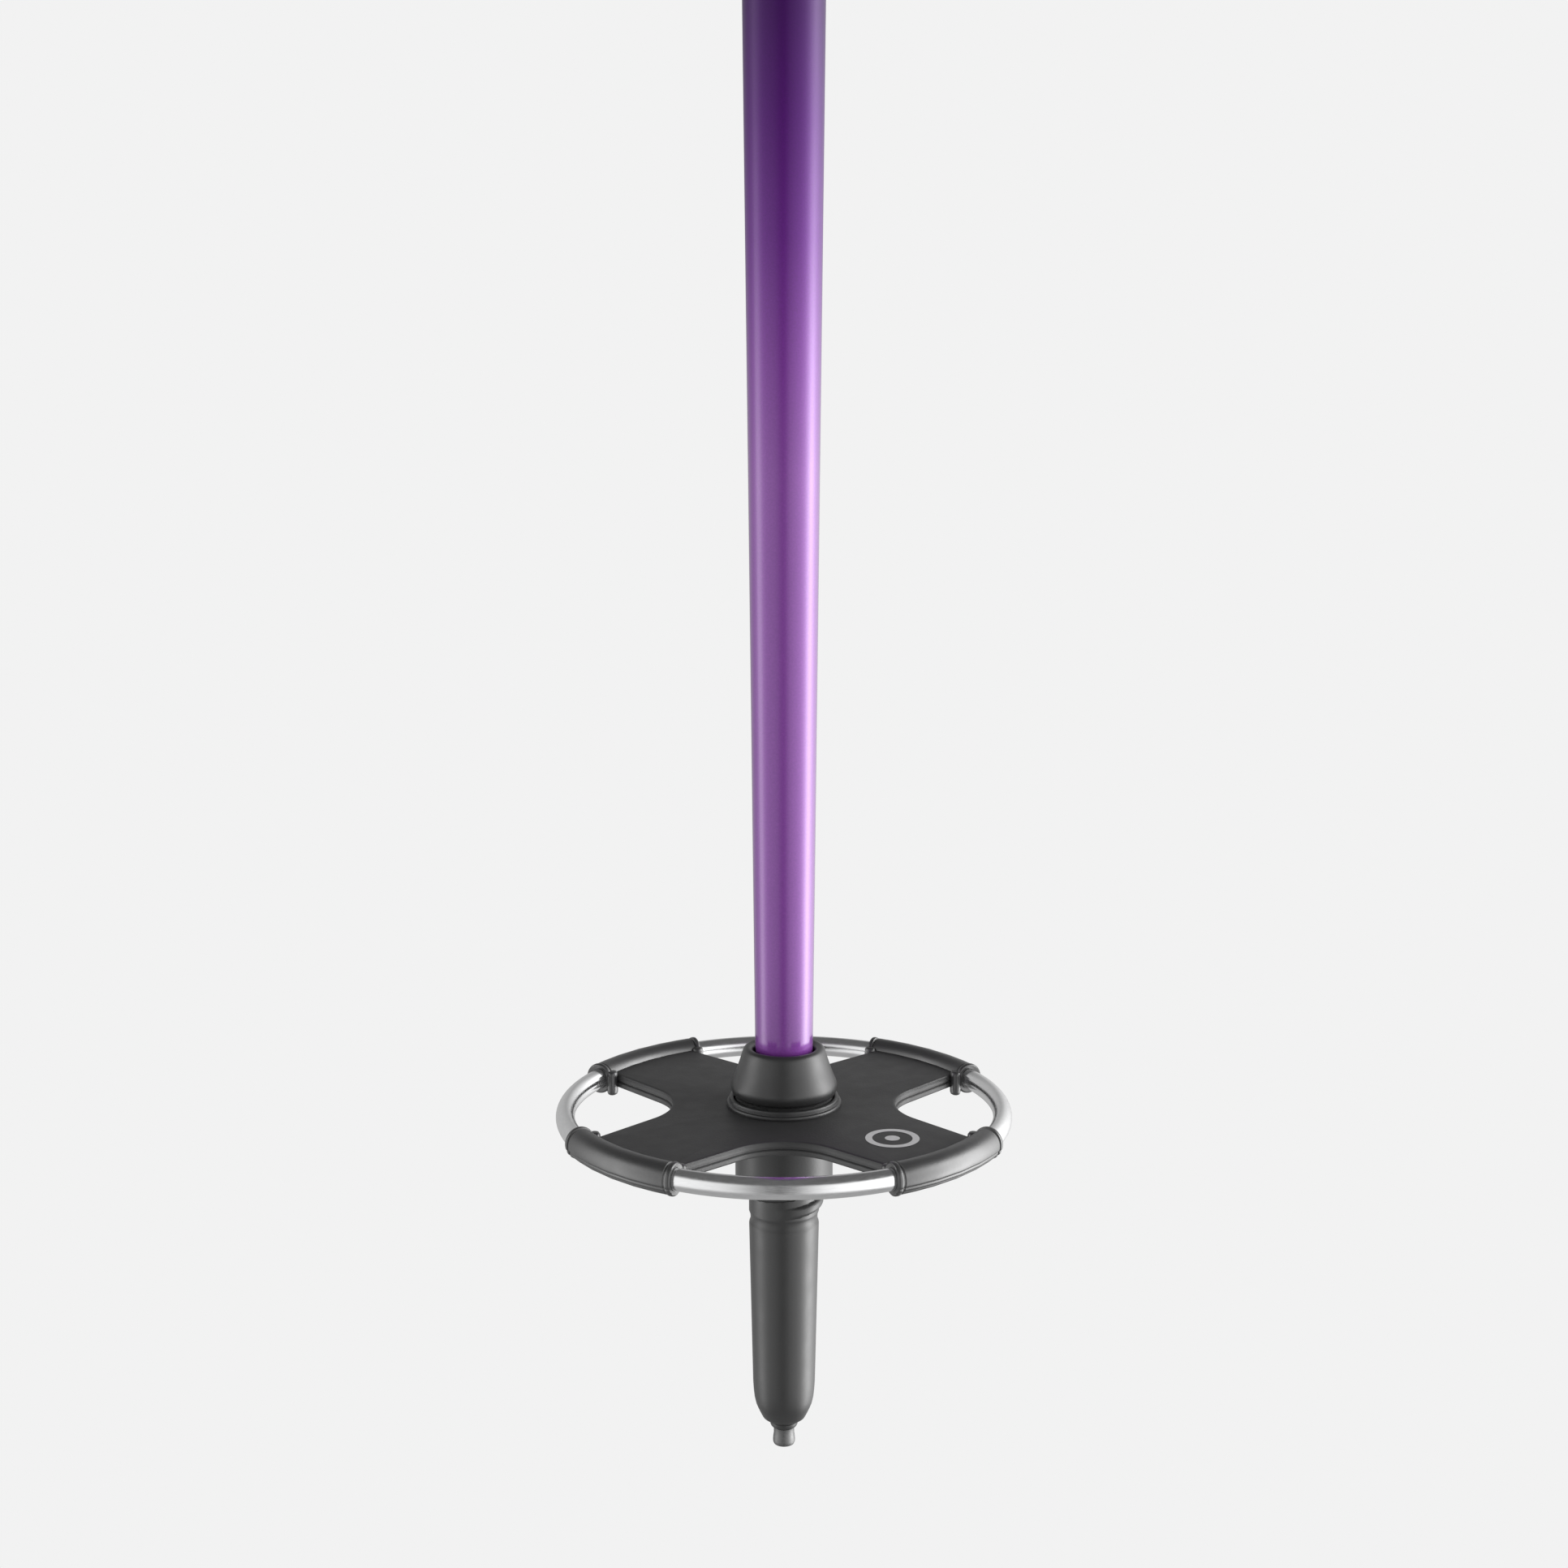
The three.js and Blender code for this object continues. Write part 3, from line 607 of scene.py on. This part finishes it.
def build_hub():
    outside = [(SKIRT_RADIUS - 0.55, SKIRT_BOTTOM), (SKIRT_RADIUS - 0.25, SKIRT_BOTTOM + 0.05),
               (SKIRT_RADIUS - 0.06, SKIRT_BOTTOM + 0.25), (SKIRT_RADIUS, SKIRT_BOTTOM + 0.6),
               (SKIRT_RADIUS, PLATE_BOTTOM - 0.9), (SKIRT_RADIUS + 0.2, PLATE_BOTTOM - 0.35),
               (SKIRT_RADIUS + 0.8, PLATE_BOTTOM + 0.3), (HUB_BEAD_RADIUS - 0.5, PLATE_TOP - 0.3),
               (HUB_BEAD_RADIUS - 0.08, PLATE_TOP), (HUB_BEAD_RADIUS, PLATE_TOP + 0.25),
               (HUB_BEAD_RADIUS, PLATE_TOP + 0.55), (HUB_BEAD_RADIUS - 0.12, PLATE_TOP + 0.8),
               (HUB_BEAD_RADIUS - 0.36, PLATE_TOP + 0.92), (HUB_RIM_RADIUS + 0.04, PLATE_TOP + 0.97),
               (HUB_RIM_RADIUS, PLATE_TOP + 1.1), (HUB_RIM_RADIUS, HUB_TOP - 0.35),
               (HUB_RIM_RADIUS - 0.1, HUB_TOP - 0.12), (HUB_RIM_RADIUS - 0.32, HUB_TOP),
               (10.75, HUB_TOP), (10.55, HUB_TOP - 0.15), (10.5, HUB_TOP - 0.4), (10.5, 76.6),
               (HUB_BORE, 76.6), (HUB_BORE, 76.4)]
    threaded = [(HUB_BORE, z) for z in np.arange(76.2, SKIRT_BOTTOM + 0.3, -0.2)]
    mouth = [(HUB_BORE, SKIRT_BOTTOM + 0.3), (HUB_BORE + 0.3, SKIRT_BOTTOM)]

    def relief(r, angle, z):
        in_bore = r < HUB_BORE + 0.5 and z < 76.3
        return max(r, HUB_BORE + groove_depth(angle, z)) if in_bore else r

    return turned("basket_hub", outside + threaded + mouth, 180, relief=relief)


def sleeve_point(section_angle, ring_angle, width, height):
    r = RING_RADIUS + width * math.cos(section_angle)
    return (r * math.cos(ring_angle), r * math.sin(ring_angle), RING_Z + height * math.sin(section_angle))


def sleeve_section(section_angle, swell):
    """Half width and half height of a sleeve's section at an angle, with its two seam lips."""
    width, height = SLEEVE_HALF_WIDTH + swell, SLEEVE_HALF_HEIGHT + swell
    for seam in (math.radians(-22), math.radians(-44)):
        off = abs(section_angle - seam) / math.radians(5)
        if off < 1:
            dent = 0.16 * (1 - off * off)
            width -= dent
            height -= dent
    return width, height


def build_sleeves():
    """Four sleeves round the ring, each with a groove and a lip near its ends."""
    around, vertices, faces = 96, [], []
    swells = {0.0: -0.12, 0.006: 0.1, 0.014: 0.16, 0.026: 0.16, 0.033: 0.1, 0.038: -0.2, 0.047: -0.2,
              0.053: 0.0}
    stations = list(swells) + [0.08, 0.15, 0.3, 0.5]
    stations += [1 - s for s in reversed(stations[:-1])]
    bore = (RING_HALF_WIDTH + 0.04, RING_HALF_HEIGHT + 0.04)
    end_face = (SLEEVE_HALF_WIDTH - 0.275, SLEEVE_HALF_WIDTH - 0.075)
    section = [math.pi - a for a in circle(around)]
    for arm in range(4):
        middle = math.pi / 4 + arm * math.pi / 2
        first, last = middle - SLEEVE_HALF_ANGLE, middle + SLEEVE_HALF_ANGLE
        rows = [[sleeve_point(a, angle, *size) for a in section]
                for angle, size in ((first + 0.003, bore), (first, end_face))]
        for share in stations:
            angle = middle + SLEEVE_HALF_ANGLE * (2 * share - 1)
            swell = swells.get(round(min(share, 1 - share), 3), 0.0)
            rows.append([sleeve_point(a, angle, *sleeve_section(a, swell)) for a in section])
        rows += [[sleeve_point(a, angle, *size) for a in section]
                 for angle, size in ((last, end_face), (last - 0.003, bore))]
        base = len(vertices)
        for row in rows:
            vertices += row
        faces += [tuple(base + i for i in f) for f in grid_faces(len(rows), around, wrap_columns=True)]
    return make_piece("basket_sleeves", vertices, faces, 40)


def build_lugs():
    """Small rounded ears inside the ring at both ends of each sleeve."""
    vertices, faces = [], []
    around = 24
    layers = [(-1.0, 0.55), (-0.93, 0.82), (-0.75, 0.97), (-0.3, 1.0), (0.5, 1.0), (0.82, 0.93),
              (0.97, 0.7), (1.0, 0.4)]
    for arm in range(4):
        for end in (-1, 1):
            angle = math.pi / 4 + arm * math.pi / 2 + end * (SLEEVE_HALF_ANGLE - 0.022)
            out = Vector((math.cos(angle), math.sin(angle)))
            along = Vector((-out.y, out.x))
            base = len(vertices)
            for height, size in layers:
                for a in circle(around):
                    radial = LUG_RADIUS + 1.15 * size * math.cos(a)
                    place = out * radial + along * (1.35 * size * math.sin(a))
                    vertices.append((place.x, place.y, LUG_MIDDLE + LUG_HALF_HEIGHT * height))
            faces += tube_faces(len(layers), around, base)
    return make_piece("basket_lugs", vertices, faces, 50)


def build_mark():
    """A plain ring with a dot, printed on one arm."""
    segments = 72
    vertices = [(MARK_OFFSET + radius * math.cos(a), -MARK_OFFSET + radius * math.sin(a), PLATE_TOP + 0.05)
                for radius in (4.0, 5.4, 1.5) for a in circle(segments)]
    faces = []
    for j in range(segments):
        k = (j + 1) % segments
        faces.append((j, segments + j, segments + k, k))
    faces.append(tuple(2 * segments + j for j in range(segments)))
    return make_piece("arm_mark", vertices, faces)


# ---- grip ----


def grip_point(angle, z, inset=0.0):
    """Point on the handle's egg-shaped section, with its outlines drawn in by an inset."""
    c, s = math.cos(angle), math.sin(angle)
    depth = outline_at(GRIP_FRONT if c > 0 else GRIP_BACK, z) - inset
    return (depth * c, (outline_at(GRIP_SIDE, z) - inset) * s, z)


def grip_relief(angle, z):
    """Depth of the handle's moulded ribs: fine rings on the front, a diamond field on the back."""
    facing = math.cos(angle)
    low, high = GRIP_BOTTOM + 10, HEAD_BOTTOM - 10
    if not low < z < high:
        return 0.0
    ends = min(1.0, (z - low) / 4, (high - z) / 4)
    front = max(0.0, facing - 0.15) / 0.85
    rings = 0.30 * (0.5 + 0.5 * math.cos(2 * math.pi * z / 3.0)) * min(1.0, front * 3)
    back = max(0.0, -facing - 0.35) / 0.65
    side = angle * 15
    diamonds = max(0.0, math.cos(z * 1.5 + side) * math.cos(z * 1.5 - side))
    return ends * (rings + 0.35 * diamonds * min(1.0, back * 3))


def build_grip():
    around = 200
    rows = [(GRIP_BOTTOM + rise, inset)
            for rise, inset in ((0, 1.6), (0.1, 0.9), (0.4, 0.42), (1.0, 0.1), (1.8, 0.0))]
    rows += [(z, 0.0) for z in np.arange(GRIP_BOTTOM + 2.4, HEAD_BOTTOM - 0.6, 0.55)]
    rows += [(HEAD_BOTTOM - 0.5, 0.12), (HEAD_BOTTOM - 0.15, 0.45), (HEAD_BOTTOM, 0.9)]
    bore = [(11.3, HEAD_BOTTOM), (11.3, GRIP_BOTTOM + 4), (9.3, GRIP_BOTTOM + 3.7), (9.3, GRIP_BOTTOM)]
    vertices = [grip_point(a, z, inset + grip_relief(a, z)) for z, inset in rows for a in circle(around)]
    vertices += [(r * math.cos(a), r * math.sin(a), z) for r, z in bore for a in circle(around)]
    faces = grid_faces(len(rows) + len(bore), around, wrap_rows=True, wrap_columns=True)
    return make_piece("grip_handle", vertices, faces, 40)


def rounded_plan(cx, cy, hx, hy, corner):
    """Outline of a rectangle with round corners, anticlockwise."""
    steps, points = 8, []
    for k, (sx, sy) in enumerate(((1, 1), (-1, 1), (-1, -1), (1, -1))):
        for i in range(steps + 1):
            a = (k + i / steps) * math.pi / 2
            points.append((cx + sx * (hx - corner) + corner * math.cos(a),
                           cy + sy * (hy - corner) + corner * math.sin(a)))
    return points


def rounded_block(name, low, high, corner):
    """Upright block whose plan has round corners."""
    cx, cy = (low[0] + high[0]) / 2, (low[1] + high[1]) / 2
    plan = rounded_plan(cx, cy, (high[0] - low[0]) / 2, (high[1] - low[1]) / 2, corner)
    vertices = [(x, y, z) for z in (low[2], high[2]) for x, y in plan]
    return make_piece(name, vertices, tube_faces(2, len(plan)))


def cut(piece, cutters, bevel):
    """Cuts pieces out of one, softens the cut edges, and removes the cutters."""
    for cutter in cutters:
        modifier = piece.modifiers.new("cut", "BOOLEAN")
        modifier.operation = "DIFFERENCE"
        modifier.solver = "EXACT"
        modifier.object = cutter
    soft = piece.modifiers.new("soft", "BEVEL")
    soft.width = bevel * MM
    soft.segments = 3
    soft.limit_method = "ANGLE"
    soft.angle_limit = math.radians(50)
    piece.modifiers.new("even", "WEIGHTED_NORMAL").keep_sharp = True
    graph = bpy.context.evaluated_depsgraph_get()
    mesh = bpy.data.meshes.new_from_object(piece.evaluated_get(graph))
    piece.modifiers.clear()
    piece.data = mesh
    for cutter in cutters:
        bpy.data.objects.remove(cutter)
    mesh.shade_smooth()
    mesh.set_sharp_from_angle(angle=math.radians(32))
    return piece


def build_cap():
    """Hard cap: slightly waisted sides, a round top edge, and openings for the wedge and strap."""
    around = 96
    rows = [(HEAD_BOTTOM + 0.3, 0.5), (HEAD_BOTTOM + 0.45, 0.15), (HEAD_BOTTOM + 0.9, 0.0)]
    rows += [(z, 0.0) for z in (1166, 1174, 1182, 1190)]
    rows += [(CAP_TOP - 3 + 3 * math.sin(a), 3 - 3 * math.cos(a)) for a in np.linspace(0, math.pi / 2, 9)]
    vertices = []
    for z, inset in rows:
        waist = 0.5 * math.sin(math.pi * min(1.0, max(0.0, (z - HEAD_BOTTOM - 1) / 36)))
        for a in circle(around):
            vertices.append(((CAP_HALF_X - inset - waist) * math.cos(a),
                             (CAP_HALF_Y - inset - waist) * math.sin(a), z))
    cap = make_piece("grip_cap_shell", vertices, tube_faces(len(rows), around))
    well = rounded_block("well", (-10, -10.4, 1150), (9, 10.4, 1210), 1.6)
    slot = rounded_block("slot", (-30, -10.4, 1177), (-9, 10.4, 1187), 0.5)
    inside = rounded_block("inside", (-15.8, -12.9, 1150), (15.8, 12.9, 1194.3), 6.5)
    return cut(cap, [well, slot, inside], 0.45)


def build_wedge():
    """Thumb button with a tapered shank and five low ribs across its top."""
    top, ribs, vertices = CAP_TOP - 1, 5, []
    outline = [(-9.7, 1194.8), (-3.4, 1194.6), (0.5, 1166.2), (8.4, 1166.0), (8.7, 1166.6), (8.7, 1198.3),
               (8.4, 1198.85)]
    for k in range(ribs):
        x = 6.6 - 3.1 * k
        outline += [(x + 0.9, top), (x + 0.6, top + 0.55), (x - 0.6, top + 0.55), (x - 0.9, top)]
    outline += [(-9.4, 1198.85), (-9.7, 1198.4)]
    layers = [(-10.1, 0.5), (-9.95, 0.2), (-9.6, 0.0), (9.6, 0.0), (9.95, 0.2), (10.1, 0.5)]
    cx, cz = 2.0, 1190.0
    for y, inset in layers:
        for x, z in outline:
            vertices.append((x - math.copysign(min(inset, abs(x - cx)), x - cx), y,
                             z - math.copysign(min(inset, abs(z - cz)), z - cz)))
    faces = [tuple(reversed(f)) for f in tube_faces(len(layers), len(outline))]
    return make_piece("lock_wedge", vertices, faces, 30)


# ---- strap ----


def band_section(width, thickness):
    """Closed section (side, height, share across) of webbing with rolled selvedges."""
    half, edge, across = width / 2, thickness / 2, 16
    upper = []
    for i in range(across + 1):
        u = -1 + 2 * i / across
        side = u * (half - edge)
        swell = 0.06 * math.exp(-((abs(u) - 0.93) / 0.06) ** 2)
        upper.append((side, edge + swell, (u + 1) / 2))
    ends = []
    for i in range(1, 6):
        a = math.pi / 2 - math.pi * i / 6
        ends.append((half - edge + edge * math.cos(a), edge * math.sin(a), 1.0))
    lower = [(-s, -h, 1 - u) for s, h, u in upper]
    others = [(-s, -h, 0.0) for s, h, u in ends]
    return upper + ends + lower + others


def swept_band(name, line, tangents, lengths, section_at, smooth_angle=50.0):
    """Band along a line in the XZ plane. A section's height points to the line's left."""
    vertices = []
    for (x, z), (tx, tz), share in zip(line, tangents, np.linspace(0, 1, len(line))):
        vertices += [(x + tz * height, side, z - tx * height) for side, height, _ in section_at(share)]
    shares = [point[2] for point in section_at(0.0)]
    piece = make_piece(name, vertices, tube_faces(len(line), len(shares)), smooth_angle)
    layer = piece.data.uv_layers.new(name="along")
    for polygon in piece.data.polygons:
        for loop in polygon.loop_indices:
            i, j = divmod(piece.data.loops[loop].vertex_index, len(shares))
            layer.data[loop].uv = (shares[j], lengths[i])
    return piece


def corner_route(radius):
    """Points from inside the head, out of the slot's mouth and down the grip's back."""
    cx, cz = PIVOT_X + 2.6, SLOT_Z - 2.6
    points = [(-9.0, cz + radius), ((cx - 9.0) / 2, cz + radius)]
    points += [(cx - radius * math.sin(a), cz + radius * math.cos(a)) for a in np.linspace(0, math.pi / 2, 7)]
    points += [(cx - radius, z) for z in (1172, 1160, 1148, 1142)]
    return points


def build_webbing():
    """The loop, out and back through the slot, and the tail that lies on top of it."""
    section = band_section(WEB_WIDTH, WEB_THICKNESS * 0.94)
    loop = corner_route(1.0) + LOOP_ROUTE + list(reversed(corner_route(2.6)))
    tail = corner_route(4.2) + TAIL_ROUTE
    return [swept_band(name, *catmull_rom(route, count), lambda share: section)
            for name, route, count in (("strap_loop", loop, 520), ("strap_tail", tail, 190))]


def stitches(name, places, length, radius):
    """Rows of short thread stitches, each given as (x, y, z) and its unit direction."""
    vertices, faces = [], []
    ring, steps = 6, 5
    for place, along in places:
        along = Vector(along).normalized()
        aside = along.orthogonal().normalized()
        other = along.cross(aside)
        base = len(vertices)
        for i in range(steps):
            t = -1 + 2 * i / (steps - 1)
            r = radius * math.sqrt(max(0.08, 1 - t * t))
            middle = Vector(place) + along * (length / 2 * t)
            for a in circle(ring):
                point = middle + aside * (r * math.cos(a)) + other * (r * math.sin(a))
                vertices.append(tuple(point))
        faces += tube_faces(steps, ring, base)
    return make_piece(name, vertices, faces, 80)


def pad_line():
    line, tangents, lengths = catmull_rom(LOOP_ROUTE, 400)
    total = lengths[-1]
    inset = WEB_THICKNESS / 2 + 0.3 + PAD_THICKNESS / 2
    keep = (lengths >= PAD_FROM * total) & (lengths <= PAD_TO * total)
    line, tangents = line[keep], tangents[keep]
    line = line + inset * np.stack([tangents[:, 1], -tangents[:, 0]], axis=1)
    return line, tangents, lengths[keep] - lengths[keep][0]


def pad_section(share):
    """Crowned pad: bound edges, two sewn channels, and rounded ends in plan."""
    end = min(share, 1 - share) / 0.09
    plan = math.sqrt(max(0.0, 1 - (1 - min(1.0, end)) ** 2))
    half = PAD_WIDTH / 2 * (0.62 + 0.38 * plan)
    fall = 0.45 + 0.55 * min(1.0, min(share, 1 - share) / 0.05)
    quilt = 0.22 * max(0.0, math.cos(2 * math.pi * share * 16)) ** 6
    top, count = [], 48
    for i in range(count + 1):
        u = -1 + 2 * i / count
        crown = 0.62 + 0.38 * math.sqrt(max(0.0, 1 - u * u))
        channel = 0.34 * sum(math.exp(-((u - c) / 0.045) ** 2) for c in (-0.36, 0.36))
        body = crown - channel - quilt * (abs(u) < 0.8)
        gap = 0.34 * math.exp(-((abs(u) - 0.84) / 0.03) ** 2)
        rim = max(0.0, 1 - ((abs(u) - 0.93) / 0.075) ** 2)
        shape = body if abs(u) < 0.86 else 0.66 * math.sqrt(rim)
        top.append((u * half, max(0.12, PAD_THICKNESS / 2 * fall * (shape - gap)), (u + 1) / 2))
    bottom = [(s, -h * 0.82, u) for s, h, u in reversed(top)]
    return top + bottom


def build_pad():
    line, tangents, lengths = pad_line()
    return swept_band("wrist_pad", line, tangents, lengths, pad_section, 60)


def pad_stitches():
    line, tangents, _ = pad_line()
    places = []
    for i in range(8, len(line) - 8, 3):
        tx, tz = tangents[i]
        for side in (-1, 1):
            y = side * PAD_WIDTH / 2 * 0.845
            x, z = line[i][0] + tz * 0.95, line[i][1] - tx * 0.95
            places.append(((x, y, z), (tx, 0, tz)))
    return stitches("pad_stitching", places, 1.5, 0.2)


def build_keeper():
    """Rubber loop with two ribs round it, the same above and below its middle."""
    half_x, half_y, wall = 2.7, 10.3, 1.1
    middle = (KEEPER_BOTTOM + KEEPER_TOP) / 2
    half = [(5.0, 0.35), (4.85, 0.1), (4.5, 0.0), (2.8, 0.0), (2.5, 0.18), (1.7, 0.18), (1.4, 0.0)]
    levels = [(middle - rise, inset) for rise, inset in half]
    levels += [(middle + rise, inset) for rise, inset in reversed(half)]
    rings = [(z, wall - inset, 1.7) for z, inset in levels]
    rings += [(KEEPER_TOP, 0.1, 0.7), (KEEPER_BOTTOM, 0.1, 0.7)]
    vertices = [(x, y, z) for z, out, corner in rings
                for x, y in rounded_plan(PIVOT_X, 0.0, half_x + out, half_y + out, corner)]
    faces = grid_faces(len(rings), 36, wrap_rows=True, wrap_columns=True)
    return make_piece("strap_keeper_loop", vertices, faces, 40)


def build_end_tab():
    """Moulded tab with grip ribs, set on the end of the tail."""
    line, tangents, _ = catmull_rom(TAIL_ROUTE, 60)
    (ex, ez), (tx, tz) = line[-1], tangents[-1]
    length, half_width, half_thick = 14.0, 10.5, 1.6
    rows, around = 60, 40
    vertices = []
    for i in range(rows):
        share = i / (rows - 1)
        ends = min(share, 1 - share) * length
        inset = 0.8 * (1 - math.sqrt(max(0.0, 1 - (1 - min(1.0, ends / 0.8)) ** 2)))
        narrow = 2.4 * max(0.0, share - 0.72) ** 2 / 0.0784
        rib = 0.28 * max(0.0, math.cos(2 * math.pi * share * 7)) if 0.2 < share < 0.85 else 0.0
        for a in circle(around):
            c, s = math.cos(a), math.sin(a)
            y = (half_width - inset - narrow) * math.copysign(abs(c) ** 0.35, c)
            flat = rib if abs(y) < half_width - 2.6 else 0.0
            t = (half_thick - inset - 0.3 + flat) * math.copysign(abs(s) ** 0.5, s)
            along = 0.3 + share * length
            vertices.append((ex + tx * along + tz * t, y, ez + tz * along - tx * t))
    return make_piece("tail_tab", vertices, tube_faces(rows, around), 45)


# ---- put together ----


def dress(piece, material, body, slot, *nodes):
    piece.data.materials.clear()
    piece.data.materials.append(material)
    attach(piece, body)
    if nodes:
        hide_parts(*nodes)
    return piece


def make_lower():
    ferrule = moulded_plastic("ferrule_plastic", 0.023, 0.38, 900, 0.00003, shine=0.66)
    plate = moulded_plastic("basket_plastic", 0.027, 0.52, 2400, 0.00009, shine=0.6)
    hub = moulded_plastic("basket_hub_satin", 0.023, 0.38, 1500, 0.00004, shine=0.6)
    satin = moulded_plastic("basket_satin", 0.034, 0.34, 1500, 0.00004, shine=1.0)
    dress(build_shaft(), shaft_purple(), "pole", "shaft_purple", "shaft")
    dress(build_tip(), tip_metal(), "pole", "tip_metal", "carbide_tip")
    dress(build_ferrule(), ferrule, "pole", "ferrule_plastic", "tip_ferrule")
    # A rubber seal in the groove between collar and hub, made near-black so that its tone also paints the
    # groove's shade.
    dress(build_seal(), soft_rubber("seal_rubber", 0.010), "seal", "seal_rubber", "hub_seal")
    dress(build_ring(), ring_metal(), "basket", "ring_metal", "basket_ring")
    dress(build_plate(), plate, "basket", "basket_plastic", "basket_body")
    dress(build_hub(), hub, "basket", "basket_plastic")
    for piece in (build_sleeves(), build_lugs()):
        dress(piece, satin, "basket", "basket_plastic")
    dress(build_mark(), mark_paint(), "basket", "basket_plastic")


def make_upper():
    rubber = soft_rubber("grip_rubber", 0.020)
    webbing = weave("webbing", 0.020, (0.12, 0.035, 0.19, 1))
    thread = stitch_thread()
    dress(build_grip(), rubber, "pole", "grip_rubber", "grip_sleeve")
    cap = moulded_plastic("cap_plastic", 0.022, 0.42, 1300, 0.00006)
    dress(build_cap(), cap, "pole", "cap_plastic", "grip_cap")
    wedge = moulded_plastic("wedge_plastic", 0.10, 0.36, 1300, 0.00004, hue=(1.0, 0.28, 1.45))
    dress(build_wedge(), wedge, "wedge", "wedge_plastic", "strap_wedge")
    loop, tail = build_webbing()
    for piece in (loop, tail):
        piece.data.materials.append(webbing)
        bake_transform(piece)
    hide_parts("strap_webbing", "strap_anchor")
    pad = dress(build_pad(), pad_cloth(), "strap", "pad_fabric", "strap_pad")
    dress(pad_stitches(), thread, "strap", "pad_fabric")
    keeper = soft_rubber("keeper_rubber", 0.014, 0.7)
    dress(build_keeper(), keeper, "keeper", "keeper_rubber", "strap_keeper")
    tab = moulded_plastic("tab_plastic", 0.022, 0.45, 1400, 0.00006)
    dress(build_end_tab(), tab, "strap", "tab_plastic", "strap_end_tab")
    paint_node("grip_core", moulded_plastic("core_plastic", 0.026, 0.6, 1600, 0.00008))
    paint_node("strap_pin", steel_wire())


def paint_node(node, material):
    """New look for a CAD node that stays as it is."""
    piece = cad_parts[node]
    piece.data.materials.clear()
    piece.data.materials.append(material)


# ---- studio ----


def make_camera():
    data = bpy.data.cameras.new("camera")
    data.lens = CAMERA_LENS
    data.sensor_width = 36
    camera = bpy.data.objects.new("camera", data)
    camera.location = CAMERA_PLACE
    camera.rotation_euler = (math.radians(90 - CAMERA_DOWN), 0, 0)
    bpy.context.scene.collection.objects.link(camera)
    bpy.context.scene.camera = camera


def make_room():
    """Soft studio walls seen by the object, and a plain pale backdrop seen by the camera."""
    world = bpy.data.worlds.new("studio")
    bpy.context.scene.world = world
    world.use_nodes = True
    n = Tree(world.node_tree)
    x, y, z = n.parts(n.add("ShaderNodeTexCoord").outputs["Generated"])
    turn = n.math("ARCTAN2", x, n.math("MULTIPLY", y, -1.0))
    share = n.math("ADD", n.math("DIVIDE", turn, 2 * math.pi), 0.5)
    stops = [((angle + 180) / 360, grey(level / WALL_PEAK)) for angle, level in WALLS]
    walls = n.math("MULTIPLY", n.ramp(share, stops, "B_SPLINE"), WALL_PEAK)
    rise = n.math("ADD", n.math("MULTIPLY", z, 0.5), 0.5)
    dark, full = grey(0.0), grey(1.0)
    band = n.ramp(rise, [(0.10, dark), (0.28, full), (0.70, full), (0.86, dark)], "EASE")
    above = n.ramp(rise, [(0.3, dark), (0.8, full)], "EASE")
    ends = n.math("ADD", n.math("MULTIPLY", above, CEILING - FLOOR_GLOW), FLOOR_GLOW)
    room = n.math("ADD", n.math("MULTIPLY", walls, band),
                  n.math("MULTIPLY", ends, n.math("SUBTRACT", 1.0, band)))
    lit, seen = n.add("ShaderNodeBackground"), n.add("ShaderNodeBackground")
    n.link(room, lit.inputs["Strength"])
    lit.inputs["Color"].default_value = grey(1.0)
    seen.inputs["Color"].default_value = BACKDROP
    mix = n.add("ShaderNodeMixShader")
    n.link(n.add("ShaderNodeLightPath").outputs["Is Camera Ray"], mix.inputs[0])
    n.link(lit.outputs[0], mix.inputs[1])
    n.link(seen.outputs[0], mix.inputs[2])
    n.link(mix.outputs[0], n.add("ShaderNodeOutputWorld").inputs["Surface"])


def make_floor():
    """Wide pale floor just under the tip, lit evenly like the backdrop."""
    size = 30.0
    mesh = bpy.data.meshes.new("floor")
    corners = [(-size, -size, 0), (size, -size, 0), (size, size, 0), (-size, size, 0)]
    mesh.from_pydata(corners, [], [(0, 1, 2, 3)])
    floor = bpy.data.objects.new("floor", mesh)
    floor.location.z = -0.0005
    bpy.context.scene.collection.objects.link(floor)
    material = bpy.data.materials.new("floor")
    material.use_nodes = True
    n = Tree(material.node_tree)
    glow = n.add("ShaderNodeEmission")
    glow.inputs["Color"].default_value = BACKDROP
    n.link(glow.outputs[0], n.add("ShaderNodeOutputMaterial").inputs["Surface"])
    mesh.materials.append(material)
    floor.visible_glossy = False
    floor.visible_diffuse = False


def make_studio():
    make_room()
    make_floor()
    bpy.context.scene.view_settings.view_transform = "Standard"
    bpy.context.scene.view_settings.look = "None"


make_camera()
make_lower()
make_upper()
make_studio()

bpy.context.view_layer.update()
